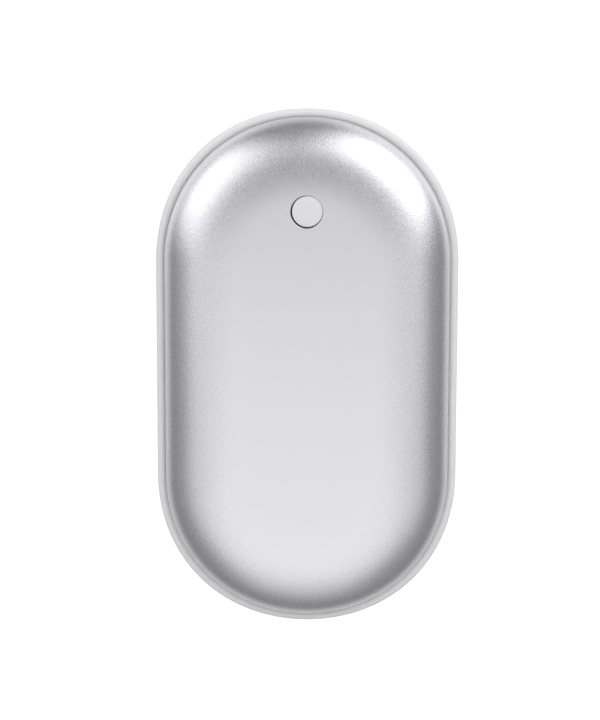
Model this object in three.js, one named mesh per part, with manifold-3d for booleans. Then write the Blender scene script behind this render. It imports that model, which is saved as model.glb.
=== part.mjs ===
// A rechargeable pocket hand warmer: two drawn aluminium shells bonded into a translucent
// moulded band, with a heating film behind each shell, two lithium cells side by side, and a
// circuit board with a push button, a charging socket and a power outlet at one end.
//
// Millimetres. +Z points out of the front shell, +Y towards the button and the sockets, and
// the origin is the middle of the flat on the back shell, on which the warmer lies.
// The warmer is sized from the inside out: the cells, the board and the walls set its outside,
// which comes to 60 wide, 103 long and 26 thick.

import * as THREE from "three";
import { mergeVertices } from "three/addons/utils/BufferGeometryUtils.js";
import Module from "manifold-3d";

const wasm = await Module();
wasm.setup();

// Cells: two standard cylindrical cells, each in a shrink sleeve
const cellDiameter = 18.1;
const cellLength = 65;
const cellCapRise = 0.8;
const cellCapRadius = 3.2;
const cellCapEdge = 0.3;
const cellEdge = 0.6;
const crimpDepth = 0.7;
const crimpWidth = 1.4;
const crimpSetback = 2.6;
const sleeveWall = 0.15;
const sleeveGap = 0.05;
const sleeveFold = 2.2;
const washerThickness = 0.2;
const washerHole = 4.2;
const cellSpacing = 0.5;

// Band: the moulded frame that shows between the shells
const bandHeight = 9.6;
const bandReveal = 1.4;
const bandEdge = 0.8;
const endSquareness = 0.013;
const seamGap = 0.2;
const rimDepth = 1.1;
const lipWall = 1.2;
const lipRise = 0.8;
const lipChamfer = 0.3;

// Adhesive ring between a shell and the band's lip
const bondThickness = 0.2;
const bondGap = 0.05;

// Shells: drawn aluminium, with a steep rolled edge that runs out into a flat
const shellWall = 0.8;
const rollWidth = 18;
const rollPower = 2.8;
const holeChamfer = 0.15;

// Rooms and stacking gaps inside the case
const sideRoom = 7.35;
const cornerRoom = 0.35;
const crownRoom = 0.3;
const stackGap = 0.05;

// Heating film, with its etched track, and the foam that presses it to the shell
const filmThickness = 0.2;
const filmOverhang = 4.5;
const trackRise = 0.1;
const trackWidth = 1.1;
const trackMargin = 1.2;
const trackLines = 10;
const earWidth = 4;
const earSetback = 3;
const earInset = 2.9;
const padThickness = 2.25;
const padMargin = 3;
const padEndMargin = 4;
const padCorner = 3;
const padSlotWidth = 5;
const padSlotLength = 26;

// Thermistor strip in the slot of the back foam
const thermistorWidth = 3.2;
const thermistorThickness = 0.4;
const thermistorLength = 24;
const thermistorBead = 0.8;

// Nickel strips and the insulating paper
const stripThickness = 0.15;
const stripHeight = 5.4;
const stripOverhang = 3.4;
const stripSlit = 0.6;
const tabWidth = 4;
const tabHeight = 8.6;
const paperThickness = 0.2;
const paperHeight = 11;
const paperMargin = 4;
const paperCorner = 2;

// Board
const boardLength = 20.3;
const boardThickness = 1.2;
const boardGap = 0.3;

// Bulkhead, ribs and bosses moulded inside the band
const bulkheadWall = 1;
const bulkheadRise = 0.8;
const wireNotchWidth = 6;
const ribWall = 1.2;
const ribGap = 0.2;
const ribPlaceShares = [0.14, 0.5, 0.84];
const bossRadius = 2.2;
const bossDepth = 5;
const bossFloor = 0.6;
const bossSetback = 2.6;
const bossEdgeRoom = 3.4;

// Board screws
const screwRadius = 0.9;
const screwLength = 4.6;
const screwHeadRadius = 1.8;
const screwHeadHeight = 1.2;
const screwHoleGap = 0.1;
const driveSlotWidth = 0.5;
const driveDepth = 0.6;

// Power outlet: a type A socket
const outletWidth = 13.1;
const outletHeight = 5.7;
const outletDepth = 13.6;
const outletWall = 0.3;
const outletCorner = 0.6;
const outletTongueSide = 1;
const outletTongueThickness = 1.84;
const outletTongueRise = 0.72;
const outletTongueSetback = 1.2;
const outletBlockDepth = 3.6;
const outletTailRoom = 1.6;
const outletMouldGap = 0.1;
const outletLegWidth = 1.8;
const outletLegSetback = 5.2;
const outletLegReach = 0.8;
const contactWidth = 1;
const contactThickness = 0.25;
const contactGap = 0.05;
const contactInnerOffset = 1;
const contactOuterOffset = 3.5;
const contactSetback = 0.9;
const contactFoot = 0.5;
const springSlit = 0.35;
const springWidth = 1.6;
const springLength = 4.6;
const springSetback = 2.4;
const springOffset = 3.1;

// Charging socket: a micro B socket
const inletWidth = 7.6;
const inletHeight = 2.6;
const inletDepth = 5.5;
const inletWall = 0.25;
const inletCorner = 0.5;
const inletShoulder = 1;
const inletTongueWidth = 3.7;
const inletTongueThickness = 0.6;
const inletTongueSetback = 0.8;
const inletBlockDepth = 1.6;
const inletMouldGap = 0.08;
const inletEarWidth = 0.7;
const inletEarDepth = 1;

// Windows for both sockets in the band's end
const portSpacing = 2.2;
const portInset = 0.1;
const windowGap = 0.25;
const windowCorner = 0.8;

// Tact switch
const switchSide = 6.2;
const switchSetback = 1.45;
const switchBodyHeight = 3.5;
const switchHeight = 7;
const switchCoverThickness = 0.3;
const switchWellRadius = 2.5;
const switchWellDepth = 2;
const plungerRadius = 1.7;
const plungerFlangeRadius = 2.3;
const plungerFlangeThickness = 0.7;
const plungerGap = 0.1;
const switchLegWidth = 1;
const switchLegReach = 1.2;
const switchLegThickness = 0.3;
const switchLegOffset = 2.1;

// Button
const capRadius = 2.95;
const capClearance = 0.22;
const capProud = 0.1;
const capEdge = 0.25;
const capCrown = 0.08;
const flangeWidth = 1.2;
const flangeThickness = 0.8;
const flangeGap = 0.1;
const stemRadius = 1.5;
const buttonTravel = 0.25;
const overTravel = 0.3;
const guideGap = 0.25;
const guideWall = 1.1;
const guideFloor = 0.8;
const guideFootWidth = 1.4;
const guideFootThickness = 0.8;

// Parts on the board
const chipLength = 4.9;
const chipWidth = 3.9;
const chipHeight = 1.4;
const chipLeadReach = 1;
const chipLeadWidth = 0.42;
const chipLeadPitch = 1.27;
const chipLeadThickness = 0.2;
const chipLeads = 4;
const chipGap = 3.3;
const chipRowGap = 1;
const inductorRadius = 3;
const inductorHeight = 4.2;
const inductorFlange = 0.9;
const inductorNeck = 0.5;
const inductorRowGap = 1.2;
const inductorSideGap = 2.9;
const transistorSide = 3;
const transistorHeight = 1.1;
const transistorGap = 1.6;
const capacitorRadius = 2;
const capacitorHeight = 5.2;
const capacitorBase = 0.6;
const capacitorGap = 2;
const ledWidth = 1.6;
const ledLength = 0.8;
const ledHeight = 0.7;
const ledGap = 1;
const ledSetback = 0.2;

// Wires
const wireRadius = 0.6;
const wireGap = 0.3;
const wireRowGap = 0.7;
const wireArch = 1.3;
const powerWireOffset = 6.4;
const thermistorWireOffset = 1;

// Facets, and a cut's overrun past the face that it cuts
const arcSteps = 18;
const rollSteps = 7;
const edgeSteps = 2;
const cellSides = 20;
const roundSides = 24;
const smallSides = 16;
const wireSides = 6;
const wireSteps = 12;
const longWireSteps = 26;
const overrun = 1;

// Widths, worked out from the cells to the outside
const sleeveRadius = cellDiameter / 2 + sleeveGap + sleeveWall;
const cellOffset = sleeveRadius + cellSpacing / 2;
const packHalfWidth = cellOffset + sleeveRadius;
const cavityRadius = packHalfWidth + sideRoom;
const lipRadius = cavityRadius + lipWall;
const shellInnerRadius = lipRadius + bondGap + bondThickness + bondGap;
const shellRadius = shellInnerRadius + shellWall;
const bandInnerRadius = shellRadius + seamGap;
const bodyRadius = bandInnerRadius + bandReveal;
const landRadius = shellRadius - rollWidth;

// Lengths: the straight sides are as long as the cells, the bulkhead and the board need
const cornerReach = Math.sqrt((cavityRadius * (1 + endSquareness)) ** 2 - packHalfWidth ** 2);
const boardRadius = cavityRadius - boardGap;
const stackLength = 3 * stackGap + stripThickness + paperThickness + bulkheadWall + boardGap;
const arcCentre = (cellLength + stackLength + boardLength + cornerRoom - cornerReach - boardRadius) / 2;
const cellBottomY = cornerRoom - arcCentre - cornerReach;
const cellTopY = cellBottomY + cellLength;
const positiveStripY = cellTopY + stackGap;
const paperY = positiveStripY + stripThickness + stackGap;
const bulkheadY = paperY + paperThickness + stackGap;
const boardRearY = bulkheadY + bulkheadWall + boardGap;
const negativeStripY = cellBottomY - sleeveGap - sleeveWall - stackGap;

// Heights, from the middle plane of the band
const padBottom = sleeveRadius + stackGap;
const padTop = padBottom + padThickness;
const trackBottom = padTop + stackGap;
const filmBottom = trackBottom + trackRise;
const filmTop = filmBottom + filmThickness;
const landInner = filmTop + crownRoom;
const bodyHalfThickness = landInner + shellWall;
const bandTop = bandHeight / 2;
const grooveFloor = bandTop - rimDepth;
const lipTop = bandTop + lipRise;
const boardTop = -outletHeight / 2 - stackGap;
const boardBottom = boardTop - boardThickness;

// The button stands over the switch, which stands behind the board's rear edge
const buttonY = boardRearY + switchSetback + switchSide / 2;
const flangeRadius = capRadius + flangeWidth;
const flangeTop = landInner - flangeGap;
const flangeBottom = flangeTop - flangeThickness;
const guideTop = landInner - bondGap;
const guideFloorTop = flangeBottom - buttonTravel - overTravel;
const guideInnerRadius = flangeRadius + guideGap;
const guideOuterRadius = guideInnerRadius + guideWall;
const guideFootRadius = guideOuterRadius + guideFootWidth;
const guideBottom = guideFloorTop - guideFloor;
const switchTop = boardTop + stackGap + switchHeight;

// Both sockets face the end of the band, side by side about its middle
const outletTongueWidth = outletWidth - 2 * outletTongueSide;
const portsWidth = outletWidth + portSpacing + inletWidth;
const outletX = (outletWidth - portsWidth) / 2;
const inletX = (portsWidth - inletWidth) / 2;
const portY = arcCentre + Math.sqrt(bodyRadius ** 2 - (portsWidth / 2) ** 2) - portInset;
const outletRearY = portY - outletDepth;
const inletZ = boardTop + stackGap + inletHeight / 2;

// Colours and finishes
const finish = (color, roughness, metalness) =>
  new THREE.MeshStandardMaterial({ color, roughness, metalness });
const anodised = finish(0xd4d4d8, 0.38, 1);
const milkyPlastic = finish(0xe6e6ea, 0.35, 0);
const buttonPlastic = finish(0xf0f0f1, 0.3, 0);
const whitePlastic = finish(0xededea, 0.45, 0);
const blackPlastic = finish(0x1b1b1d, 0.5, 0);
const adhesive = finish(0x2a2a2c, 0.8, 0);
const polyimide = finish(0xb8641e, 0.35, 0);
const foam = finish(0x3a3a3c, 0.95, 0);
const sleeveFilm = finish(0x3f6fb5, 0.35, 0);
const cellSteel = finish(0xb9babd, 0.35, 1);
const nickel = finish(0xb5b2a6, 0.35, 1);
const fishPaper = finish(0xcfd8cc, 0.85, 0);
const laminate = finish(0x1f5a3c, 0.45, 0);
const platedSteel = finish(0xc3c5c8, 0.28, 1);
const goldPlate = finish(0xd9b15c, 0.25, 1);
const ferrite = finish(0x3b3d42, 0.6, 0);
const diode = finish(0xf4f1dc, 0.3, 0);
const redWire = finish(0xb3211d, 0.5, 0);
const blackWire = finish(0x18181a, 0.5, 0);
const whiteWire = finish(0xe8e8e4, 0.5, 0);

// Solids: a closed geometry becomes a manifold, facing out, and goes back to a geometry
function solidOf(geometry) {
  const bare = geometry.clone();
  bare.deleteAttribute("normal");
  bare.deleteAttribute("uv");
  const merged = mergeVertices(bare);
  const vertProperties = merged.attributes.position.array;
  const triVerts = new Uint32Array(merged.index.array);
  const made = new wasm.Manifold(new wasm.Mesh({ numProp: 3, vertProperties, triVerts }));
  if (made.volume() > 0) return made;
  return new wasm.Manifold(new wasm.Mesh({ numProp: 3, vertProperties, triVerts: triVerts.reverse() }));
}

function geometryOf(solid) {
  const mesh = solid.getMesh();
  const positions = new Float32Array(mesh.numVert * 3);
  for (let i = 0; i < mesh.numVert; i += 1) {
    const from = i * mesh.numProp;
    positions.set(mesh.vertProperties.subarray(from, from + 3), i * 3);
  }
  const geometry = new THREE.BufferGeometry();
  geometry.setAttribute("position", new THREE.BufferAttribute(positions, 3));
  geometry.setIndex(new THREE.BufferAttribute(mesh.triVerts, 1));
  const faceted = geometry.toNonIndexed();
  faceted.computeVertexNormals();
  return faceted;
}

const joined = (solids) => solids.reduce((sum, solid) => sum.add(solid));
const cut = (solid, tools) => tools.reduce((rest, tool) => rest.subtract(tool), solid);

// A block between two values on each axis, in either order
function block(xOne, xTwo, yOne, yTwo, zOne, zTwo) {
  const box = new THREE.BoxGeometry(Math.abs(xTwo - xOne), Math.abs(yTwo - yOne), Math.abs(zTwo - zOne));
  box.translate((xOne + xTwo) / 2, (yOne + yTwo) / 2, (zOne + zTwo) / 2);
  return solidOf(box);
}

// A round post along Z
function post(radius, x, y, zLow, zHigh, sides = smallSides) {
  const round = new THREE.CylinderGeometry(radius, radius, zHigh - zLow, sides);
  round.rotateX(Math.PI / 2);
  round.translate(x, y, (zLow + zHigh) / 2);
  return solidOf(round);
}

// A flat outline in X and Y, made thick along Z
function plate(shape, zLow, zHigh, curveSegments) {
  const depth = zHigh - zLow;
  const flat = new THREE.ExtrudeGeometry(shape, { depth, bevelEnabled: false, curveSegments });
  flat.translate(0, 0, zLow);
  return solidOf(flat);
}

// An outline in X and Z, made thick along Y
function crossPlate(shape, yLow, yHigh) {
  const depth = yHigh - yLow;
  const flat = new THREE.ExtrudeGeometry(shape, { depth, bevelEnabled: false, curveSegments: edgeSteps });
  flat.rotateX(Math.PI / 2);
  flat.translate(0, yHigh, 0);
  return solidOf(flat);
}

// An outline in Y and Z, made thick along X
function sidePlate(shape, xLow, xHigh) {
  const flat = new THREE.ExtrudeGeometry(shape, { depth: xHigh - xLow, bevelEnabled: false });
  const turn = new THREE.Matrix4().makeBasis(
    new THREE.Vector3(0, 1, 0),
    new THREE.Vector3(0, 0, 1),
    new THREE.Vector3(1, 0, 0),
  );
  flat.applyMatrix4(turn);
  flat.translate(xLow, 0, 0);
  return solidOf(flat);
}

// A profile of [radius, height] turned about the Z axis at a place in X and Y
function turnedPost(profile, x, y, sides = roundSides) {
  const points = profile.map(([radius, height]) => new THREE.Vector2(radius, height));
  const lathe = new THREE.LatheGeometry(points, sides);
  lathe.rotateX(Math.PI / 2);
  lathe.translate(x, y, 0);
  return solidOf(lathe);
}

function outline(points) {
  return new THREE.Shape(points.map(([a, b]) => new THREE.Vector2(a, b)));
}

function roundedRectangle(centreA, centreB, width, height, corner) {
  const shape = new THREE.Shape();
  const [left, right] = [centreA - width / 2, centreA + width / 2];
  const [low, high] = [centreB - height / 2, centreB + height / 2];
  shape.moveTo(left + corner, low);
  shape.lineTo(right - corner, low);
  shape.absarc(right - corner, low + corner, corner, -Math.PI / 2, 0, false);
  shape.lineTo(right, high - corner);
  shape.absarc(right - corner, high - corner, corner, 0, Math.PI / 2, false);
  shape.lineTo(left + corner, high);
  shape.absarc(left + corner, high - corner, corner, Math.PI / 2, Math.PI, false);
  shape.lineTo(left, low + corner);
  shape.absarc(left + corner, low + corner, corner, Math.PI, 1.5 * Math.PI, false);
  return shape;
}

// The racetrack outline that every ring of the case follows: two half circles about the arc
// centres, drawn out a little at their shoulders, and joined by straight sides
function racetrackPoint(radius, step) {
  const onTop = step <= arcSteps;
  const angle = onTop
    ? (step * Math.PI) / arcSteps
    : Math.PI + ((step - arcSteps - 1) * Math.PI) / arcSteps;
  const centre = onTop ? arcCentre : -arcCentre;
  const reach = radius * (1 + endSquareness * Math.sin(2 * angle) ** 2);
  return [reach * Math.cos(angle), centre + reach * Math.sin(angle)];
}

// A section of [radius, height] points carried once round the racetrack. A closed section
// makes a ring, and an open one is shut by a flat at each of its ends.
function carriedRound(section, closed) {
  const lap = 2 * (arcSteps + 1);
  const positions = [];
  for (const [radius, height] of section) {
    for (let step = 0; step < lap; step += 1) {
      positions.push(...racetrackPoint(radius, step), height);
    }
  }
  const indices = [];
  const bands = closed ? section.length : section.length - 1;
  for (let row = 0; row < bands; row += 1) {
    const next = (row + 1) % section.length;
    for (let step = 0; step < lap; step += 1) {
      const beside = (step + 1) % lap;
      const [a, b] = [row * lap + step, row * lap + beside];
      const [c, d] = [next * lap + beside, next * lap + step];
      indices.push(a, b, c, a, c, d);
    }
  }
  if (!closed) {
    const last = (section.length - 1) * lap;
    for (let step = 0; step < arcSteps; step += 1) {
      const across = lap - 1 - step;
      const corners = [step, step + 1, across - 1, across];
      indices.push(corners[0], corners[2], corners[1], corners[0], corners[3], corners[2]);
      const [a, b, c, d] = corners.map((corner) => last + corner);
      indices.push(a, b, c, a, c, d);
    }
  }
  const geometry = new THREE.BufferGeometry();
  geometry.setAttribute("position", new THREE.Float32BufferAttribute(positions, 3));
  geometry.setIndex(indices);
  return solidOf(geometry);
}

// A flat slab with the racetrack's outline
const racetrackSlab = (radius, zLow, zHigh) =>
  carriedRound([[radius, zLow], [radius, zHigh]], false);

// The parts of the model, filled by the sections below. Everything is drawn about the band's
// middle plane, and the body group lifts it so that the back shell lies on the ground.
const body = new THREE.Group();
body.position.z = bodyHalfThickness;

function add(name, solid, material, place = body) {
  const mesh = new THREE.Mesh(geometryOf(solid), material);
  mesh.name = name;
  place.add(mesh);
  return mesh;
}

// What the front has, the back has too, turned half round about the warmer's long axis
const backSide = new THREE.Group();
backSide.rotation.y = Math.PI;
body.add(backSide);

const sides = [
  ["left", -1],
  ["right", 1],
];

// Shells: the rolled edge is a quarter superellipse from the rim up to the flat
function rolledEdge(rimRadius, landHeight) {
  const points = [];
  for (let step = 0; step <= rollSteps; step += 1) {
    const turn = (step / rollSteps) * (Math.PI / 2);
    const reach = Math.max(Math.cos(turn), 0) ** (2 / rollPower);
    const radius = landRadius + (rimRadius - landRadius) * (step === rollSteps ? 0 : reach);
    points.push([radius, bandTop + (landHeight - bandTop) * Math.sin(turn)]);
  }
  return points;
}

function shell() {
  const rimHeight = grooveFloor + stackGap;
  const inside = rolledEdge(shellInnerRadius, landInner).reverse();
  const outside = rolledEdge(shellRadius, bodyHalfThickness);
  const rim = [[shellInnerRadius, rimHeight], [shellRadius, rimHeight]];
  return carriedRound([...inside, ...rim, ...outside], false);
}

const holeRadius = capRadius + capClearance;
const buttonHole = turnedPost(
  [
    [0, guideFloorTop],
    [holeRadius, guideFloorTop],
    [holeRadius, bodyHalfThickness - holeChamfer],
    [holeRadius + holeChamfer + overrun, bodyHalfThickness + overrun],
    [0, bodyHalfThickness + overrun],
  ],
  0,
  buttonY,
);
const guideSeat = post(guideFootRadius + guideGap, 0, buttonY, guideBottom, landInner, roundSides);
add("front_shell", cut(shell(), [guideSeat, buttonHole]), anodised);
add("back_shell", shell(), anodised, backSide);

// Adhesive rings: each sits between its shell's rim and the band's lip
function bondRing() {
  const inner = lipRadius + bondGap;
  const outer = inner + bondThickness;
  const low = grooveFloor + stackGap;
  return carriedRound([[inner, low], [outer, low], [outer, bandTop], [inner, bandTop]], true);
}
add("front_bond_ring", bondRing(), adhesive);
add("back_bond_ring", bondRing(), adhesive, backSide);

// Band: its section has a rounded outer face, a groove on each side that takes a shell's rim,
// and a lip inside each groove
function bandSection() {
  const upper = [];
  for (let step = 0; step <= edgeSteps; step += 1) {
    const turn = (step / edgeSteps) * (Math.PI / 2);
    upper.push([
      bodyRadius - bandEdge * (1 - Math.cos(turn)),
      bandTop - bandEdge * (1 - Math.sin(turn)),
    ]);
  }
  upper.push([bandInnerRadius, bandTop]);
  upper.push([bandInnerRadius, grooveFloor]);
  upper.push([lipRadius, grooveFloor]);
  upper.push([lipRadius, lipTop - lipChamfer]);
  upper.push([lipRadius - lipChamfer, lipTop]);
  upper.push([cavityRadius, lipTop]);
  const lower = upper.map(([radius, height]) => [radius, -height]).reverse();
  return [...upper, ...lower];
}

// Ribs hug the cells from each side, and stops stand behind their lower ends
function cellRibs() {
  const ribs = [];
  const sleeve = new THREE.CylinderGeometry(
    sleeveRadius + ribGap,
    sleeveRadius + ribGap,
    cellLength + 2 * overrun,
    cellSides,
  );
  sleeve.translate(0, (cellBottomY + cellTopY) / 2, 0);
  for (const [, side] of sides) {
    const room = solidOf(sleeve.clone().translate(side * cellOffset, 0, 0));
    for (const share of ribPlaceShares) {
      const y = cellBottomY + share * cellLength;
      const [xNear, xFar] = [side * cellOffset, side * lipRadius];
      const rib = block(xNear, xFar, y - ribWall / 2, y + ribWall / 2, -lipTop, lipTop);
      ribs.push(...rib.subtract(room).decompose().filter((piece) => reachesWall(piece)));
    }
    const stopTop = negativeStripY - stripThickness - stackGap;
    const x = side * cellOffset;
    const stopFoot = -arcCentre - lipRadius;
    ribs.push(block(x - ribWall / 2, x + ribWall / 2, stopFoot, stopTop, -lipTop, lipTop));
  }
  return ribs;
}

function reachesWall(piece) {
  const { min, max } = piece.boundingBox();
  return Math.max(-min[0], max[0]) > packHalfWidth;
}

// The bulkhead parts the cells from the board, with a notch on each face for the wires
const bulkheadTop = lipTop + bulkheadRise;
function bulkhead() {
  const wall = block(
    -lipRadius, lipRadius, bulkheadY, bulkheadY + bulkheadWall, -bulkheadTop, bulkheadTop,
  );
  const notches = [-1, 1].map((face) => {
    const [half, zFar] = [wireNotchWidth / 2, face * (bulkheadTop + overrun)];
    const [yLow, yHigh] = [bulkheadY - overrun, bulkheadY + bulkheadWall + overrun];
    return block(-half, half, yLow, yHigh, face * lipTop, zFar);
  });
  return cut(wall, notches);
}

// Two bosses take the board's screws, each tied to the band's wall by a rib
const bossY = boardRearY + bossSetback;
const bossX = Math.sqrt((boardRadius - bossEdgeRoom) ** 2 - (bossY - arcCentre) ** 2);
const bossTop = boardBottom - stackGap;
function bosses() {
  const made = [];
  const [yLow, yHigh, zLow] = [bossY - ribWall / 2, bossY + ribWall / 2, bossTop - bossDepth];
  for (const [, side] of sides) {
    made.push(post(bossRadius, side * bossX, bossY, zLow, bossTop));
    made.push(block(side * bossX, side * lipRadius, yLow, yHigh, zLow, bossTop));
  }
  return made;
}

function bossHoles() {
  return sides.map(([, side]) => {
    const low = bossTop - bossDepth + bossFloor;
    return post(screwRadius + screwHoleGap, side * bossX, bossY, low, bossTop + overrun);
  });
}

function portWindows() {
  const windows = [
    [outletX, 0, outletWidth, outletHeight],
    [inletX, inletZ, inletWidth, inletHeight],
  ];
  return windows.map(([x, z, width, height]) => {
    const shape = roundedRectangle(x, z, width + 2 * windowGap, height + 2 * windowGap, windowCorner);
    return crossPlate(shape, arcCentre, arcCentre + bodyRadius + overrun);
  });
}

function band() {
  const ring = carriedRound(bandSection(), true);
  const inside = racetrackSlab(cavityRadius + lipWall / 2, -bulkheadTop, bulkheadTop);
  const inner = joined([...cellRibs(), bulkhead(), ...bosses()]).intersect(inside);
  return cut(ring.add(inner), [...bossHoles(), ...portWindows()]);
}
add("mid_frame", band(), milkyPlastic);

// Button: a crowned cap with a flange behind the shell and a stem down to the switch
const stemBottom = switchTop + stackGap;
const capTop = bodyHalfThickness + capProud;
add(
  "button_cap",
  turnedPost(
    [
      [0, stemBottom],
      [stemRadius, stemBottom],
      [stemRadius, flangeBottom],
      [flangeRadius, flangeBottom],
      [flangeRadius, flangeTop],
      [capRadius, flangeTop],
      [capRadius, capTop - capEdge - capCrown],
      [capRadius - capEdge, capTop - capCrown],
      [capRadius / 2, capTop - capCrown / 4],
      [0, capTop],
    ],
    0,
    buttonY,
  ),
  buttonPlastic,
);

// The guide is bonded behind the shell. It traps the cap's flange and guides its stem.
const stemHoleRadius = stemRadius + guideGap;
add(
  "button_guide",
  turnedPost(
    [
      [stemHoleRadius, guideBottom],
      [guideOuterRadius, guideBottom],
      [guideOuterRadius, guideTop - guideFootThickness],
      [guideFootRadius, guideTop - guideFootThickness],
      [guideFootRadius, guideTop],
      [guideInnerRadius, guideTop],
      [guideInnerRadius, guideFloorTop],
      [stemHoleRadius, guideFloorTop],
      [stemHoleRadius, guideBottom],
    ],
    0,
    buttonY,
  ),
  whitePlastic,
);

// Heating films: a racetrack of polyimide with two ears, and an etched track that runs up
// and down between them
const filmHalfWidth = landRadius + filmOverhang;
const filmTopCentre = buttonY - guideFootRadius - overTravel - filmHalfWidth;
const earTop = bulkheadY - earSetback;
const earX = filmHalfWidth - earInset;
function filmOutline() {
  const shape = new THREE.Shape();
  shape.absarc(0, filmTopCentre, filmHalfWidth, 0, Math.PI, false);
  shape.absarc(0, -arcCentre, filmHalfWidth, Math.PI, 2 * Math.PI, false);
  return shape;
}

function heater() {
  const film = [plate(filmOutline(), filmBottom, filmTop, arcSteps)];
  const track = [];
  const reach = filmHalfWidth - trackMargin;
  const pitch = (2 * earX) / (trackLines - 1);
  const trackRoof = filmBottom + filmThickness / 2;
  const topOf = (x) => filmTopCentre + Math.sqrt(Math.max(reach ** 2 - x ** 2, 0));
  const bottomOf = (x) => -arcCentre - Math.sqrt(Math.max(reach ** 2 - x ** 2, 0));
  for (let line = 0; line < trackLines; line += 1) {
    const x = (line - (trackLines - 1) / 2) * pitch;
    const goesUp = line % 2 === 0;
    const isOuter = line === 0 || line === trackLines - 1;
    const nextX = x + pitch;
    const widestNext = Math.max(Math.abs(x), Math.abs(nextX));
    const widestBefore = Math.max(Math.abs(x), Math.abs(x - pitch));
    const low = bottomOf(goesUp ? widestNext : widestBefore);
    const high = isOuter ? earTop - trackWidth : topOf(goesUp ? widestBefore : widestNext);
    const [xLow, xHigh] = [x - trackWidth / 2, x + trackWidth / 2];
    track.push(block(xLow, xHigh, low, high, trackBottom, trackRoof));
    if (line < trackLines - 1) {
      const [turnLow, turnHigh] = goesUp ? [low, low + trackWidth] : [high - trackWidth, high];
      track.push(block(x, nextX, turnLow, turnHigh, trackBottom, trackRoof));
    }
  }
  for (const [, side] of sides) {
    const x = side * earX;
    film.push(block(x - earWidth / 2, x + earWidth / 2, filmTopCentre, earTop, filmBottom, filmTop));
  }
  return joined([...film, ...track]);
}
add("front_heater", heater(), polyimide);
add("back_heater", heater(), polyimide, backSide);

// Foam pads press the films to the shells. Both have the slot that the thermistor lies in.
function foamPad() {
  const halfWidth = cellOffset + padMargin;
  const low = -arcCentre - filmHalfWidth + padEndMargin;
  const high = filmTopCentre + filmHalfWidth - padEndMargin;
  const shape = roundedRectangle(0, (low + high) / 2, 2 * halfWidth, high - low, padCorner);
  const slot = block(
    -padSlotWidth / 2, padSlotWidth / 2, high - padSlotLength, high + overrun,
    padBottom - overrun, padTop + overrun,
  );
  return plate(shape, padBottom, padTop, edgeSteps).subtract(slot);
}
add("front_foam_pad", foamPad(), foam);
add("back_foam_pad", foamPad(), foam, backSide);

// Thermistor: a film strip with its bead, on the back film under the foam's slot
const thermistorTopY = bulkheadY - earSetback;
const thermistorTop = trackBottom - stackGap;
function thermistor() {
  const low = thermistorTopY - thermistorLength;
  const half = thermistorWidth / 2;
  const strip = block(-half, half, low, thermistorTopY, thermistorTop - thermistorThickness, thermistorTop);
  const bead = new THREE.SphereGeometry(thermistorBead, smallSides / 2, smallSides / 4);
  bead.translate(0, low + half, thermistorTop - thermistorThickness);
  const shelf = block(-half, half, low, low + 2 * half, 0, thermistorTop);
  return strip.add(solidOf(bead).intersect(shelf));
}
add("thermistor", thermistor(), polyimide, backSide);

// Cells: a steel can with a crimped neck and a raised cap, standing along Y
function cell() {
  const radius = cellDiameter / 2;
  const canTop = cellLength - cellCapRise;
  const crimp = canTop - crimpSetback;
  const profile = [
    [0, 0],
    [radius - cellEdge, 0],
    [radius, cellEdge],
    [radius, crimp - crimpWidth / 2],
    [radius - crimpDepth, crimp],
    [radius, crimp + crimpWidth / 2],
    [radius, canTop - cellEdge],
    [radius - cellEdge, canTop],
    [cellCapRadius, canTop],
    [cellCapRadius, cellLength - cellCapEdge],
    [cellCapRadius - cellCapEdge, cellLength],
    [0, cellLength],
  ];
  return turnedAlong(profile);
}

// A profile of [radius, length] turned about a line along Y
function turnedAlong(profile) {
  const points = profile.map(([radius, length]) => new THREE.Vector2(radius, length));
  return solidOf(new THREE.LatheGeometry(points, cellSides));
}

function washer() {
  const low = cellLength - cellCapRise + sleeveGap;
  const high = low + washerThickness;
  const outer = cellDiameter / 2 - cellEdge;
  const face = [[washerHole, low], [outer, low], [outer, high], [washerHole, high]];
  return turnedAlong([...face, face[0]]);
}

function sleeve() {
  const inner = cellDiameter / 2 + sleeveGap;
  const outer = inner + sleeveWall;
  const mouth = cellDiameter / 2 - sleeveFold;
  const floor = -sleeveGap;
  const roof = cellLength - cellCapRise + sleeveGap + washerThickness + sleeveGap;
  return turnedAlong([
    [mouth, floor - sleeveWall],
    [outer - cellEdge, floor - sleeveWall],
    [outer, floor - sleeveWall + cellEdge],
    [outer, roof + sleeveWall - cellEdge],
    [outer - cellEdge, roof + sleeveWall],
    [mouth, roof + sleeveWall],
    [mouth, roof],
    [inner - cellEdge, roof],
    [inner, roof - cellEdge],
    [inner, floor + cellEdge],
    [inner - cellEdge, floor],
    [mouth, floor],
    [mouth, floor - sleeveWall],
  ]);
}

for (const [side, sign] of sides) {
  const place = new THREE.Group();
  place.position.set(sign * cellOffset, cellBottomY, 0);
  body.add(place);
  add(`cell_${side}`, cell(), cellSteel, place);
  add(`cell_${side}_washer`, washer(), fishPaper, place);
  add(`cell_${side}_sleeve`, sleeve(), sleeveFilm, place);
}

// Nickel strips join the cells side by side. Each has a slit at every weld and a tab that
// stands up for its wire.
function strip(tabX, tabTop, yLow) {
  const half = cellOffset + stripOverhang;
  const rise = stripHeight / 2;
  const yHigh = yLow + stripThickness;
  const shape = outline([
    [-half, -rise],
    [half, -rise],
    [half, rise],
    [tabX + tabWidth / 2, rise],
    [tabX + tabWidth / 2, tabTop],
    [tabX - tabWidth / 2, tabTop],
    [tabX - tabWidth / 2, rise],
    [-half, rise],
  ]);
  const slits = sides.map(([, side]) => {
    const [x, wide, tall] = [side * cellOffset, stripSlit / 2, rise - stripSlit];
    return block(x - wide, x + wide, yLow - overrun, yHigh + overrun, -tall, tall);
  });
  return cut(crossPlate(shape, yLow, yHigh), slits);
}

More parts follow.
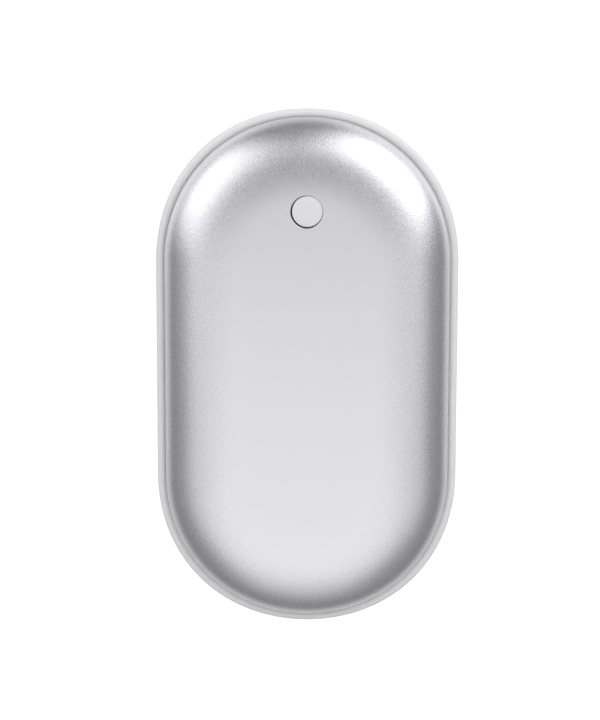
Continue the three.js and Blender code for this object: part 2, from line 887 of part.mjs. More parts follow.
// The black wire lies in the valley between the cells, so its tab stops there
const valleyReach = sleeveRadius + wireRadius + wireGap;
const valleyHeight = Math.sqrt(valleyReach ** 2 - cellOffset ** 2);
add("positive_strip", strip(powerWireOffset, tabHeight, positiveStripY), nickel);
add("negative_strip", strip(0, valleyHeight, negativeStripY - stripThickness), nickel);
const paperWidth = 2 * (cellOffset + paperMargin);
add(
  "insulating_paper",
  crossPlate(roundedRectangle(0, 0, paperWidth, paperHeight, paperCorner), paperY, paperY + paperThickness),
  fishPaper,
);

// Board: it fills the end of the cavity in front of the bulkhead
const legX = outletWidth / 2 - outletWall / 2;
const legY = portY - outletLegSetback;
function board() {
  const slab = racetrackSlab(boardRadius, boardBottom, boardTop);
  const end = block(
    -bodyRadius, bodyRadius, boardRearY, arcCentre + bodyRadius, boardBottom - overrun, boardTop + overrun,
  );
  const screwHoles = sides.map(([, side]) =>
    post(screwRadius + screwHoleGap, side * bossX, bossY, boardBottom - overrun, boardTop + overrun),
  );
  const legSlots = sides.map(([, side]) => {
    const x = outletX + side * legX;
    const [wide, deep] = [outletWall / 2 + windowGap, outletLegWidth / 2 + windowGap];
    return block(x - wide, x + wide, legY - deep, legY + deep, boardBottom - overrun, boardTop + overrun);
  });
  return cut(slab.intersect(end), [...screwHoles, ...legSlots]);
}
add("main_board", board(), laminate);

// Screws hold the board down on its bosses
function screw(side) {
  const headLow = boardTop + stackGap;
  const headHigh = headLow + screwHeadHeight;
  const pin = turnedPost(
    [
      [0, headLow - screwLength],
      [screwRadius, headLow - screwLength + screwRadius],
      [screwRadius, headLow],
      [screwHeadRadius, headLow],
      [screwHeadRadius, headHigh - screwHeadHeight / 3],
      [screwHeadRadius * 0.7, headHigh],
      [0, headHigh],
    ],
    side * bossX,
    bossY,
    smallSides,
  );
  const [x, arm, wide] = [side * bossX, screwHeadRadius / 2, driveSlotWidth / 2];
  const cross = [
    block(x - arm, x + arm, bossY - wide, bossY + wide, headHigh - driveDepth, headHigh + overrun),
    block(x - wide, x + wide, bossY - arm, bossY + arm, headHigh - driveDepth, headHigh + overrun),
  ];
  return cut(pin, cross);
}
for (const [side, sign] of sides) add(`board_screw_${side}`, screw(sign), platedSteel);

// Power outlet: a folded steel shell with spring fingers in its top and bottom, open at the
// rear of its bottom for the contacts' tails
const blockRearY = outletRearY + outletTailRoom;
function outletShell() {
  const outer = roundedRectangle(outletX, 0, outletWidth, outletHeight, outletCorner);
  const inner = roundedRectangle(
    outletX, 0, outletWidth - 2 * outletWall, outletHeight - 2 * outletWall, outletCorner - outletWall,
  );
  const hollow = crossPlate(inner, outletRearY - overrun, portY + overrun);
  const tube = crossPlate(outer, outletRearY, portY).subtract(hollow);
  const bottomOpening = block(
    outletX - outletWidth / 2 + outletCorner, outletX + outletWidth / 2 - outletCorner,
    outletRearY - overrun, blockRearY, -outletHeight / 2 - overrun, 0,
  );
  const slits = [];
  for (const face of [-1, 1]) {
    const [zNear, zFar] = [outletHeight / 2 - outletWall - springSlit, outletHeight / 2 + overrun]
      .map((z) => face * z);
    for (const [, side] of sides) {
      const x = outletX + side * springOffset;
      const [yLow, yHigh] = [portY - springSetback - springLength, portY - springSetback];
      const [near, far] = [springWidth / 2, springWidth / 2 + springSlit];
      slits.push(block(x - far, x - near, yLow, yHigh, zNear, zFar));
      slits.push(block(x + near, x + far, yLow, yHigh, zNear, zFar));
      slits.push(block(x - far, x + far, yLow, yLow + springSlit, zNear, zFar));
    }
  }
  const [legLow, legHigh] = [legY - outletLegWidth / 2, legY + outletLegWidth / 2];
  const legs = sides.map(([, side]) => {
    const [near, far] = [legX - outletWall / 2, legX + outletWall / 2].map((x) => outletX + side * x);
    return block(near, far, legLow, legHigh, boardBottom - outletLegReach, 0);
  });
  return joined([cut(tube, [bottomOpening, ...slits]), ...legs]);
}
add("usb_a_shell", outletShell(), platedSteel);

// Its insulator: a block that closes the rear, and the tongue that carries the contacts
const tongueTop = outletHeight / 2 - outletWall - outletTongueRise;
const tongueBottom = tongueTop - outletTongueThickness;
const contactTop = tongueBottom + contactThickness + contactGap;
const contactXs = [-contactOuterOffset, -contactInnerOffset, contactInnerOffset, contactOuterOffset]
  .map((offset) => outletX + offset);
const tongueFrontY = portY - outletTongueSetback;
function outletInsulator() {
  const wide = outletWidth / 2 - outletWall - outletMouldGap;
  const tall = outletHeight / 2 - outletWall - outletMouldGap;
  const blockFrontY = blockRearY + outletBlockDepth;
  const rear = block(outletX - wide, outletX + wide, blockRearY, blockFrontY, -tall, tall);
  const [xLow, xHigh] = [outletX - outletTongueWidth / 2, outletX + outletTongueWidth / 2];
  const tongue = block(xLow, xHigh, blockRearY, tongueFrontY, tongueBottom, tongueTop);
  const channels = contactXs.map((x) => {
    const half = contactWidth / 2 + contactGap;
    return block(
      x - half, x + half, blockRearY - overrun, tongueFrontY - contactSetback + contactGap,
      tongueBottom - contactGap, contactTop + contactGap,
    );
  });
  return cut(rear.add(tongue), channels);
}
add("usb_a_insulator", outletInsulator(), whitePlastic);

// Four contacts lie in the tongue's channels, and their tails bend down to the board
function contact(x) {
  const [front, low] = [tongueFrontY - contactSetback, contactTop - contactThickness];
  const tail = blockRearY - contactThickness;
  const foot = boardTop + stackGap;
  const shape = outline([
    [front, low],
    [front, contactTop],
    [tail - contactThickness, contactTop],
    [tail - contactThickness, foot + contactThickness],
    [tail - contactThickness - contactFoot, foot + contactThickness],
    [tail - contactThickness - contactFoot, foot],
    [tail, foot],
    [tail, low],
  ]);
  return sidePlate(shape, x - contactWidth / 2, x + contactWidth / 2);
}
contactXs.forEach((x, place) => add(`usb_a_contact_${place + 1}`, contact(x), goldPlate));

// Charging socket: a steel shell with drawn-in shoulders below, and its tongue
function inletOutline(inset) {
  const [half, high] = [inletWidth / 2 - inset, inletHeight / 2 - inset];
  const shoulder = inletShoulder - inset / 2;
  return [
    [inletX - half + shoulder, inletZ - high],
    [inletX + half - shoulder, inletZ - high],
    [inletX + half, inletZ - high + shoulder],
    [inletX + half, inletZ + high - inletCorner],
    [inletX + half - inletCorner, inletZ + high],
    [inletX - half + inletCorner, inletZ + high],
    [inletX - half, inletZ + high - inletCorner],
    [inletX - half, inletZ - high + shoulder],
  ];
}

function inletShell() {
  const rear = portY - inletDepth;
  const hollow = crossPlate(outline(inletOutline(inletWall)), rear - overrun, portY + overrun);
  const tube = crossPlate(outline(inletOutline(0)), rear, portY).subtract(hollow);
  const foot = boardTop + stackGap;
  const ears = sides.flatMap(([, side]) => {
    const [inner, outer, tip] = [-inletWall, 0, inletEarWidth]
      .map((step) => inletX + side * (inletWidth / 2 + step));
    return [
      block(inner, tip, rear, rear + inletEarDepth, foot, foot + inletWall),
      block(inner, outer, rear, rear + inletEarDepth, foot, inletZ),
    ];
  });
  return joined([tube, ...ears]);
}
add("micro_usb_shell", inletShell(), platedSteel);

function inletTongue() {
  const rear = portY - inletDepth;
  const filling = crossPlate(outline(inletOutline(inletWall + inletMouldGap)), rear, rear + inletBlockDepth);
  const high = inletZ + inletHeight / 2 - inletWall - inletTongueThickness / 2;
  const tongue = block(
    inletX - inletTongueWidth / 2, inletX + inletTongueWidth / 2, rear, portY - inletTongueSetback,
    high - inletTongueThickness, high,
  );
  return filling.add(tongue);
}
add("micro_usb_tongue", inletTongue(), blackPlastic);

// Tact switch: a base with a round well, a pressed cover, and the plunger that it traps
const switchFoot = boardTop + stackGap;
const switchBodyTop = switchFoot + switchBodyHeight;
function switchBase() {
  const half = switchSide / 2;
  const base = block(-half, half, buttonY - half, buttonY + half, switchFoot, switchBodyTop);
  const well = post(switchWellRadius, 0, buttonY, switchBodyTop - switchWellDepth, switchBodyTop + overrun);
  const legs = [];
  const legTop = switchFoot + switchLegThickness;
  for (const [, side] of sides) {
    const [xNear, xFar] = [side * (half - switchLegReach), side * (half + switchLegReach)];
    for (const end of [-1, 1]) {
      const y = buttonY + end * switchLegOffset;
      legs.push(block(xNear, xFar, y - switchLegWidth / 2, y + switchLegWidth / 2, switchFoot, legTop));
    }
  }
  return joined([base.subtract(well), ...legs]);
}
add("switch_base", switchBase(), blackPlastic);

function switchCover() {
  const half = switchSide / 2;
  const low = switchBodyTop + stackGap;
  const high = low + switchCoverThickness;
  const cover = block(-half, half, buttonY - half, buttonY + half, low, high);
  return cover.subtract(post(plungerRadius + plungerGap, 0, buttonY, low - overrun, high + overrun));
}
add("switch_cover", switchCover(), platedSteel);

const plungerFlangeTop = switchBodyTop - stackGap;
add(
  "switch_plunger",
  turnedPost(
    [
      [0, plungerFlangeTop - plungerFlangeThickness],
      [plungerFlangeRadius, plungerFlangeTop - plungerFlangeThickness],
      [plungerFlangeRadius, plungerFlangeTop],
      [plungerRadius, plungerFlangeTop],
      [plungerRadius, switchTop],
      [0, switchTop],
    ],
    0,
    buttonY,
    smallSides,
  ),
  blackPlastic,
);

// Chips: a charging chip on one side of the switch and a control chip on the other
const wireRowY = boardRearY + wireRowGap + wireRadius;
const chipRowY = wireRowY + wireRadius + chipRowGap;
const chipX = switchSide / 2 + switchLegReach + chipGap + chipWidth / 2 + chipLeadReach;
function chip(side) {
  const x = side * chipX;
  const centreY = chipRowY + chipLength / 2;
  const foot = boardTop + stackGap;
  const [low, high] = [foot + chipLeadThickness / 2, foot + chipHeight];
  const pieces = [block(x - chipWidth / 2, x + chipWidth / 2, chipRowY, chipRowY + chipLength, low, high)];
  const reach = chipWidth / 2 + chipLeadReach;
  for (let lead = 0; lead < chipLeads; lead += 1) {
    const y = centreY + (lead - (chipLeads - 1) / 2) * chipLeadPitch;
    const [yLow, yHigh] = [y - chipLeadWidth / 2, y + chipLeadWidth / 2];
    pieces.push(block(x - reach, x + reach, yLow, yHigh, foot, foot + chipLeadThickness));
  }
  return joined(pieces);
}
add("charge_chip", chip(1), blackPlastic);
add("control_chip", chip(-1), blackPlastic);

// Inductor: a ferrite drum between the chip row and the charging socket
const chipFrontY = chipRowY + chipLength;
const inductorX = outletX + outletWidth / 2 + inductorSideGap + inductorRadius;
const inductorY = chipFrontY + inductorRowGap + inductorRadius;
const componentFoot = boardTop + stackGap;
add(
  "power_inductor",
  turnedPost(
    [
      [0, componentFoot],
      [inductorRadius, componentFoot],
      [inductorRadius, componentFoot + inductorFlange],
      [inductorRadius - inductorNeck, componentFoot + inductorFlange],
      [inductorRadius - inductorNeck, componentFoot + inductorHeight - inductorFlange],
      [inductorRadius, componentFoot + inductorHeight - inductorFlange],
      [inductorRadius, componentFoot + inductorHeight],
      [0, componentFoot + inductorHeight],
    ],
    inductorX,
    inductorY,
    smallSides,
  ),
  ferrite,
);

function transistor() {
  const [half, top] = [transistorSide / 2, componentFoot + transistorHeight];
  const x = inductorX + inductorRadius + transistorGap + half;
  return block(x - half, x + half, inductorY - half, inductorY + half, componentFoot, top);
}
add("heater_transistor", transistor(), blackPlastic);

const capacitorX = outletX - outletWidth / 2 - capacitorGap - capacitorRadius;
const capacitorY = chipFrontY + inductorRowGap + capacitorRadius;
add(
  "output_capacitor",
  turnedPost(
    [
      [0, componentFoot],
      [capacitorRadius, componentFoot],
      [capacitorRadius, componentFoot + capacitorBase],
      [capacitorRadius - stackGap, componentFoot + capacitorBase + stackGap],
      [capacitorRadius - stackGap, componentFoot + capacitorHeight],
      [0, componentFoot + capacitorHeight],
    ],
    capacitorX,
    capacitorY,
    smallSides,
  ),
  cellSteel,
);

// Indicator lights beside the switch shine up into the translucent cap
for (const [side, sign] of sides) {
  const near = switchSide / 2 + switchLegReach + ledGap;
  const [xNear, xFar] = [sign * near, sign * (near + ledWidth)];
  const yHigh = buttonY + switchSide / 2 - ledSetback;
  const top = componentFoot + ledHeight;
  add(`status_led_${side}`, block(xNear, xFar, yHigh - ledLength, yHigh, componentFoot, top), diode);
}

// Wires: a round section carried along a smooth route
function wire(route, steps = wireSteps) {
  const curve = new THREE.CatmullRomCurve3(route.map(([x, y, z]) => new THREE.Vector3(x, y, z)));
  const section = new THREE.Shape();
  section.absarc(0, 0, wireRadius, 0, 2 * Math.PI, false);
  const points = section.getSpacedPoints(wireSides).slice(0, wireSides);
  const tube = new THREE.ExtrudeGeometry(new THREE.Shape(points), {
    steps,
    bevelEnabled: false,
    extrudePath: curve,
  });
  return solidOf(tube);
}

const wireFoot = boardTop + stackGap;
const overWall = bulkheadTop + wireRadius + wireGap;
const wallFrontY = bulkheadY + bulkheadWall;

// The red wire leaves the positive strip's tab over the bulkhead and drops to the board
const redStartY = positiveStripY + stripThickness + stackGap;
add(
  "battery_wire_red",
  wire([
    [powerWireOffset, redStartY, overWall + wireRadius],
    [powerWireOffset, wallFrontY, overWall + wireRadius],
    [powerWireOffset, wireRowY, lipTop - wireRadius],
    [powerWireOffset, wireRowY, 0],
    [powerWireOffset, wireRowY, wireFoot],
  ]),
  redWire,
);

// The black wire comes from the negative strip along the valley between the cells
add(
  "battery_wire_black",
  wire(
    [
      [0, negativeStripY + stackGap, valleyHeight],
      [0, -arcCentre, valleyHeight],
      [0, 0, valleyHeight],
      [0, arcCentre / 2, valleyHeight],
      [0, cellTopY - packHalfWidth / 3, valleyHeight + wireRadius],
      [-wireRadius, cellTopY - wireArch, overWall + wireRadius],
      [-powerWireOffset / 2, wallFrontY, overWall + wireRadius],
      [-powerWireOffset, wireRowY, lipTop - wireRadius],
      [-powerWireOffset, wireRowY, 0],
      [-powerWireOffset, wireRowY, wireFoot],
    ],
    longWireSteps,
  ),
  blackWire,
);

// Each film has a lead soldered to each ear. The front leads drop to the board's top, and
// the back leads come up to its underside.
const leadStart = trackBottom - stackGap - wireRadius;
const boardUnderside = -boardBottom + stackGap;
function heaterWire(side, end) {
  const x = side * earX;
  return wire([
    [x, earTop - wireArch, leadStart],
    [x, earTop + wireArch, leadStart],
    [x, wallFrontY, (leadStart + bulkheadTop) / 2 + wireRadius],
    [x, wireRowY, lipTop],
    [x, wireRowY, end + wireRadius],
    [x, wireRowY, end],
  ]);
}
for (const [side, sign] of sides) {
  add(`front_heater_wire_${side}`, heaterWire(sign, wireFoot), whiteWire);
  add(`back_heater_wire_${side}`, heaterWire(sign, boardUnderside), whiteWire, backSide);
}

// The thermistor's two leads rise to the underside of the board
const thermistorLead = thermistorTop - thermistorThickness - stackGap - wireRadius;
for (const [side, sign] of sides) {
  const x = sign * thermistorWireOffset;
  add(
    `thermistor_wire_${side}`,
    wire([
      [x, thermistorTopY - wireArch, thermistorLead],
      [x, thermistorTopY + wireArch, thermistorLead],
      [x, wallFrontY, (thermistorLead + bulkheadTop) / 2 + wireRadius],
      [x, wireRowY, lipTop],
      [x, wireRowY, boardUnderside + wireRadius],
      [x, wireRowY, boardUnderside],
    ]),
    whiteWire,
    backSide,
  );
}

const handWarmer = new THREE.Group();
handWarmer.add(body);

export default handWarmer;
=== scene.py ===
# A rechargeable pocket hand warmer lying on its back: two satin aluminium shells in a milky
# band, a round push button, and two sockets in the end of the band.
# Metres, +Z out of the front shell, +Y towards the button and the sockets.
import math

import bmesh
import bpy
import numpy as np
from mathutils import Matrix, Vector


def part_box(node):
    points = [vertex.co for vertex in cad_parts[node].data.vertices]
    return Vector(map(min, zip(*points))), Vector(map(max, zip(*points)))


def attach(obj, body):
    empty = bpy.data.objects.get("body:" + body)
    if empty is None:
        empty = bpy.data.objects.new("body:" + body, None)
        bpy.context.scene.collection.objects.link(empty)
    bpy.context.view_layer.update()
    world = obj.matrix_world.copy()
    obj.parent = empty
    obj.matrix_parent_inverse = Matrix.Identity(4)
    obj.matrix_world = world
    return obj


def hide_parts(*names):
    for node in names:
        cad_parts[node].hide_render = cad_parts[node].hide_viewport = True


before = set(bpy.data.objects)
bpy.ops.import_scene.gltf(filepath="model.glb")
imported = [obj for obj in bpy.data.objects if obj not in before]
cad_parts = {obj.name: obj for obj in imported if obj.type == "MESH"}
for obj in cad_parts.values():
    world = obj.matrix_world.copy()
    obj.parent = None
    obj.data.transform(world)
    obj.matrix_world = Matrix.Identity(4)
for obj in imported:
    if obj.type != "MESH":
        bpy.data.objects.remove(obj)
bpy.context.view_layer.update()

# Camera: it looks straight down on the front shell from 35 cm, and the warmer is tipped so
# that the button's end comes nearer and its left side a little lower.
mm = 0.001
picture_height = 720
sensor_height = 36.0
view_distance = 350 * mm
pixels_per_mm = 4.944
tilt, pan, roll = (math.radians(angle) for angle in (7.44, -0.7, -0.16))
offset_right, offset_down = 7.05, 6.0
middle_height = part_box("front_shell")[1][2] / 2
turn = Matrix.Rotation(roll, 4, "Z") @ Matrix.Rotation(tilt, 4, "X") @ Matrix.Rotation(pan, 4, "Y")
lens = bpy.data.cameras.new("camera")
lens.sensor_fit = "VERTICAL"
lens.sensor_height = sensor_height
lens.lens = pixels_per_mm / mm * view_distance * sensor_height / picture_height
lens.shift_x = -offset_right / picture_height
lens.shift_y = offset_down / picture_height
camera = bpy.data.objects.new("camera", lens)
camera.matrix_world = (
    Matrix.Translation((0, 0, middle_height)) @ turn.inverted() @ Matrix.Translation((0, 0, view_distance))
)
bpy.context.scene.collection.objects.link(camera)
bpy.context.scene.camera = camera

# Front shell: drawn aluminium 0.8 mm thick, bead blasted and anodised. Its rolled edge runs out
# into a nearly flat crown, and the button's hole is pierced through it with a broken edge.
shell_low, shell_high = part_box("front_shell")
button_low, button_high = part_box("button_cap")
rim_clearance = 0.06 * mm
rim_radius = shell_high[0] - rim_clearance
arc_centre = shell_high[1] - rim_radius
crown_height = shell_high[2]
rim_foot = shell_low[2]
button_y = (button_low[1] + button_high[1]) / 2
shell_wall = 0.8 * mm
roll_width = 18 * mm
roll_power = 2.8
band_height = 9.6 * mm
band_top = middle_height + band_height / 2
land_radius = rim_radius - roll_width
shell_squareness = 0.0055
hole_radius = 3.12 * mm
hole_edge = 0.12 * mm
guide_seat_radius = 7.15 * mm
collar_radius = 14 * mm
drawn_width = 8 * mm
shell_play = 0.02 * mm
crown_roughness = 0.33
shell_columns, roll_rows, collar_rows = 288, 44, 10
stretch_tries = 4
merge_distance = 0.001 * mm
least_slope = 1e-9
patch_scale = 0.15


def shoulder_stretch(x, y, squareness=shell_squareness):
    """How much further out than a circle the racetrack runs at an offset (x, y) from its arc
    centre: one, and a small share of the squared sine of twice the offset's angle."""
    return 1 + squareness * (2 * x * y / np.maximum(x**2 + y**2, merge_distance**2)) ** 2


def dome_height(x, y, inset):
    """Height of the shell over (x, y): a quarter superellipse of the distance from the straight
    line between the two arc centres, flat inside the land radius. inset moves it inwards."""
    beyond = y - np.clip(y, -arc_centre, arc_centre)
    distance = np.hypot(x, beyond) / shoulder_stretch(x, beyond)
    share = np.clip((distance - land_radius) / (roll_width - inset), 0, 1)
    return band_top + (crown_height - inset - band_top) * np.sqrt(1 - share**roll_power)


def rim_directions(centre_y, count):
    """Unit directions from (0, centre_y) to points spread evenly round the rim's racetrack."""
    half_lap = math.pi * rim_radius + 2 * arc_centre
    along = (np.arange(count) + 0.5) / count * 2 * half_lap
    second = along >= half_lap
    along = np.where(second, along - half_lap, along)
    angle = np.minimum(along / rim_radius, math.pi)
    reach = rim_radius * shoulder_stretch(np.cos(angle), np.sin(angle))
    x = reach * np.cos(angle)
    y = arc_centre + reach * np.sin(angle) - np.maximum(along - math.pi * rim_radius, 0)
    x, y = np.where(second, -x, x), np.where(second, -y, y) - centre_y
    return x / np.hypot(x, y), y / np.hypot(x, y)


def racetrack_reach(centre_y, dx, dy, radius):
    """How far a ray from (0, centre_y) runs to the racetrack of a radius: to its straight side,
    or where that is past an arc centre, to the half circle about it, stretched as it is there."""
    to_side = radius / np.maximum(np.abs(dx), least_slope)
    y = centre_y + to_side * dy
    offset = centre_y - np.where(y > arc_centre, arc_centre, -arc_centre)
    along = offset * dy
    stretch = 1
    for _ in range(stretch_tries):
        reach = radius * stretch
        to_arc = -along + np.sqrt(np.maximum(along**2 - offset**2 + reach**2, 0))
        stretch = shoulder_stretch(to_arc * dx, offset + to_arc * dy)
    return np.where(np.abs(y) <= arc_centre, to_side, to_arc)


def shell_face(centre_y, hole, inset):
    """One face of a shell, as rows of rings from the hole's edge out to the rim: straight steps
    from the hole to a collar, then even turns of the rolled edge."""
    dx, dy = rim_directions(centre_y, shell_columns)
    start = math.acos(((collar_radius - land_radius) / (roll_width - inset)) ** (roll_power / 2))
    turns = np.linspace(start, 0, roll_rows)
    radii = land_radius + (roll_width - inset) * np.cos(turns) ** (2 / roll_power)
    roll_reach = racetrack_reach(centre_y, dx, dy, radii[:, None])
    shares = np.linspace(0, 1, collar_rows, endpoint=False)[:, None]
    reach = np.vstack([hole + shares * (roll_reach[0] - hole), roll_reach])
    x, y = reach * dx, centre_y + reach * dy
    return np.stack([x, y, dome_height(x, y, inset)], axis=-1)


def front_shell_rings():
    """The front shell as one closed band of rings: over the outside, down the rim, back along
    the inside and up through the button's hole."""
    outside = shell_face(button_y, hole_radius + hole_edge, 0)
    inside = shell_face(button_y, hole_radius, shell_wall)
    near_button = np.hypot(inside[..., 0], inside[..., 1] - button_y) < guide_seat_radius
    inside[..., 2] = np.where(near_button, crown_height - shell_wall, inside[..., 2])
    foot_out, foot_in = outside[-1:].copy(), inside[-1:].copy()
    foot_out[..., 2] = foot_in[..., 2] = rim_foot
    throat = inside[:1].copy()
    throat[..., 2] = crown_height - hole_edge
    return np.concatenate([throat, outside, foot_out, foot_in, inside[::-1]])


def merge_doubles(mesh, flat_turn=None):
    """Merges the vertices of a mesh that lie on each other, and where an angle is given, joins
    the facets that turn by less than it into whole faces."""
    working = bmesh.new()
    working.from_mesh(mesh)
    bmesh.ops.remove_doubles(working, verts=working.verts, dist=merge_distance)
    if flat_turn:
        bmesh.ops.dissolve_limit(working, angle_limit=flat_turn, verts=working.verts, edges=working.edges)
    working.to_mesh(mesh)
    working.free()


def closed_mesh(name, rings, shut=True):
    """A mesh of quads between neighbouring rings, each ring closed on itself. shut joins the
    last ring to the first. A ring that shrinks to a point is merged, and faces point outwards."""
    rows, columns = rings.shape[:2]
    points = rings.reshape(-1, 3)
    row = np.arange(rows if shut else rows - 1)[:, None]
    column = np.arange(columns)[None, :]
    after, beside = (row + 1) % rows, (column + 1) % columns
    quads = np.stack(
        [row * columns + column, row * columns + beside, after * columns + beside, after * columns + column],
        axis=-1,
    ).reshape(-1, 4)
    a, b, c, d = (points[quads[:, k]] for k in range(4))
    if np.sum(a * np.cross(b, c)) + np.sum(a * np.cross(c, d)) < 0:
        quads = quads[:, ::-1]
    mesh = bpy.data.meshes.new(name)
    mesh.from_pydata(points, [], quads)
    merge_doubles(mesh)
    return mesh


def add_piece(name, mesh, material, body, stands_for=(), crease=32):
    """Puts a mesh in the scene as a piece that rides on a body, in a finish. It is smooth but for
    the edges that turn by more than the crease, in degrees."""
    mesh.shade_smooth()
    mesh.set_sharp_from_angle(angle=math.radians(crease))
    mesh.materials.append(material)
    piece = bpy.data.objects.new(name, mesh)
    bpy.context.scene.collection.objects.link(piece)
    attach(piece, body)
    if stands_for:
        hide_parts(*stands_for)
    return piece


def fine_texture():
    """A node group: noise on object coordinates, drawn out along an axis where Stretch is small.
    Its value is mapped between Low and High for a roughness, a coarser noise blends Light into
    Dark, and the fine noise is a bump's height."""
    group = bpy.data.node_groups.new("fine_texture", "ShaderNodeTree")
    for socket, value in (("Scale", 3000.0), ("Low", 0.3), ("High", 0.4)):
        made = group.interface.new_socket(socket, in_out="INPUT", socket_type="NodeSocketFloat")
        made.default_value = value
    stretch = group.interface.new_socket("Stretch", in_out="INPUT", socket_type="NodeSocketVector")
    stretch.default_value = (1, 1, 1)
    for socket in ("Light", "Dark"):
        group.interface.new_socket(socket, in_out="INPUT", socket_type="NodeSocketColor")
    group.interface.new_socket("Colour", in_out="OUTPUT", socket_type="NodeSocketColor")
    for socket in ("Value", "Height"):
        group.interface.new_socket(socket, in_out="OUTPUT", socket_type="NodeSocketFloat")
    start, end = group.nodes.new("NodeGroupInput"), group.nodes.new("NodeGroupOutput")
    place, drawn = group.nodes.new("ShaderNodeTexCoord"), group.nodes.new("ShaderNodeVectorMath")
    drawn.operation = "MULTIPLY"
    fine, coarse = group.nodes.new("ShaderNodeTexNoise"), group.nodes.new("ShaderNodeTexNoise")
    coarse_scale = group.nodes.new("ShaderNodeMath")
    coarse_scale.operation = "MULTIPLY"
    coarse_scale.inputs[1].default_value = patch_scale
    spread = group.nodes.new("ShaderNodeMapRange")
    tone = group.nodes.new("ShaderNodeMix")
    tone.data_type = "RGBA"
    group.links.new(start.outputs["Scale"], coarse_scale.inputs[0])
    group.links.new(start.outputs["Scale"], fine.inputs["Scale"])
    group.links.new(coarse_scale.outputs["Value"], coarse.inputs["Scale"])
    group.links.new(place.outputs["Object"], drawn.inputs[0])
    group.links.new(start.outputs["Stretch"], drawn.inputs[1])
    for noise in (fine, coarse):
        group.links.new(drawn.outputs["Vector"], noise.inputs["Vector"])
    group.links.new(fine.outputs["Fac"], spread.inputs["Value"])
    group.links.new(start.outputs["Low"], spread.inputs["To Min"])
    group.links.new(start.outputs["High"], spread.inputs["To Max"])
    group.links.new(coarse.outputs["Fac"], tone.inputs["Factor"])
    group.links.new(start.outputs["Light"], tone.inputs["A"])
    group.links.new(start.outputs["Dark"], tone.inputs["B"])
    group.links.new(tone.outputs["Result"], end.inputs["Colour"])
    group.links.new(spread.outputs["Result"], end.inputs["Value"])
    group.links.new(fine.outputs["Fac"], end.inputs["Height"])
    return group


texture_group = fine_texture()


def textured_finish(name, colour, roughness, grain, relief, metallic=0.0, fade=0.97, stretch=(1, 1, 1)):
    """A material whose roughness varies over a (low, high) range in grains of a size, with a
    bump of the same grains, and whose colour fades by a factor in patches. Returns the material
    and its shader."""
    material = bpy.data.materials.new(name)
    material.use_nodes = True
    nodes, links = material.node_tree.nodes, material.node_tree.links
    shader = nodes["Principled BSDF"]
    shader.inputs["Metallic"].default_value = metallic
    texture = nodes.new("ShaderNodeGroup")
    texture.node_tree = texture_group
    texture.inputs["Scale"].default_value = 1 / grain
    texture.inputs["Stretch"].default_value = stretch
    texture.inputs["Low"].default_value, texture.inputs["High"].default_value = roughness
    texture.inputs["Light"].default_value = (*colour, 1)
    texture.inputs["Dark"].default_value = (*(fade * share for share in colour), 1)
    bump = nodes.new("ShaderNodeBump")
    bump.name = "relief"
    bump.inputs["Distance"].default_value = relief
    links.new(texture.outputs["Colour"], shader.inputs["Base Color"])
    links.new(texture.outputs["Value"], shader.inputs["Roughness"])
    links.new(texture.outputs["Height"], bump.inputs["Height"])
    links.new(bump.outputs["Normal"], shader.inputs["Normal"])
    return material, shader


def vectors_of(items, field):
    """A vector field of a mesh's points or faces, as rows of (x, y, z)."""
    values = np.empty(len(items) * 3)
    items.foreach_get(field, values)
    return values.reshape(-1, 3)


def mark_drawn(mesh):
    """Writes how far each point lies from the flat crown onto the drawn edge, eased from zero to
    one, as the attribute that the metal's grain reads."""
    x, y, _ = vectors_of(mesh.vertices, "co").T
    distance = np.hypot(x, y - np.clip(y, -arc_centre, arc_centre))
    share = np.clip((distance - land_radius) / drawn_width, 0, 1)
    drawn = share**2 * (3 - 2 * share)
    mesh.attributes.new("drawn", "FLOAT", "POINT").data.foreach_set("value", drawn)


blasted_aluminium, aluminium_shader = textured_finish(
    "blasted_aluminium", (0.80, 0.794, 0.83), (0.14, 0.445), 0.21 * mm, 0.044 * mm, metallic=1.0, fade=0.995
)
aluminium_nodes, aluminium_links = blasted_aluminium.node_tree.nodes, blasted_aluminium.node_tree.links
drawn_place, drawn_grain = aluminium_nodes.new("ShaderNodeAttribute"), aluminium_nodes.new("ShaderNodeMath")
drawn_place.attribute_name = "drawn"
drawn_grain.operation = "MULTIPLY"
grain_height = aluminium_nodes["relief"].inputs["Height"]
aluminium_links.new(grain_height.links[0].from_socket, drawn_grain.inputs[0])
aluminium_links.new(drawn_place.outputs["Fac"], drawn_grain.inputs[1])
aluminium_links.new(drawn_grain.outputs["Value"], grain_height)
drawn_polish = aluminium_nodes.new("ShaderNodeMix")
drawn_polish.inputs["A"].default_value = crown_roughness
aluminium_links.new(drawn_place.outputs["Fac"], drawn_polish.inputs["Factor"])
aluminium_links.new(aluminium_shader.inputs["Roughness"].links[0].from_socket, drawn_polish.inputs["B"])
aluminium_links.new(drawn_polish.outputs["Result"], aluminium_shader.inputs["Roughness"])
# The hole's wall is coloured near black, much darker than the shell's metal: painted shade in the gap round
# the button.
painted_hole_shade, _ = textured_finish(
    "painted_hole_shade", (0.05, 0.05, 0.055), (0.6, 0.75), 0.2 * mm, 0.01 * mm, metallic=0.6
)
front_skin = add_piece(
    "front_shell_skin",
    closed_mesh("front_shell_skin", front_shell_rings() + np.array([shell_play, 0, 0])),
    blasted_aluminium,
    "case",
    ["front_shell"],
)
mark_drawn(front_skin.data)
front_skin.data.materials.append(painted_hole_shade)
skin_points = vectors_of(front_skin.data.vertices, "co")
on_wall = np.hypot(skin_points[:, 0], skin_points[:, 1] - button_y) < hole_radius + merge_distance
skin_corners = np.empty(len(front_skin.data.loops), dtype=np.int32)
front_skin.data.loops.foreach_get("vertex_index", skin_corners)
on_wall_faces = on_wall[skin_corners].reshape(-1, 4).all(axis=1)
front_skin.data.polygons.foreach_set("material_index", on_wall_faces.astype(np.int32))


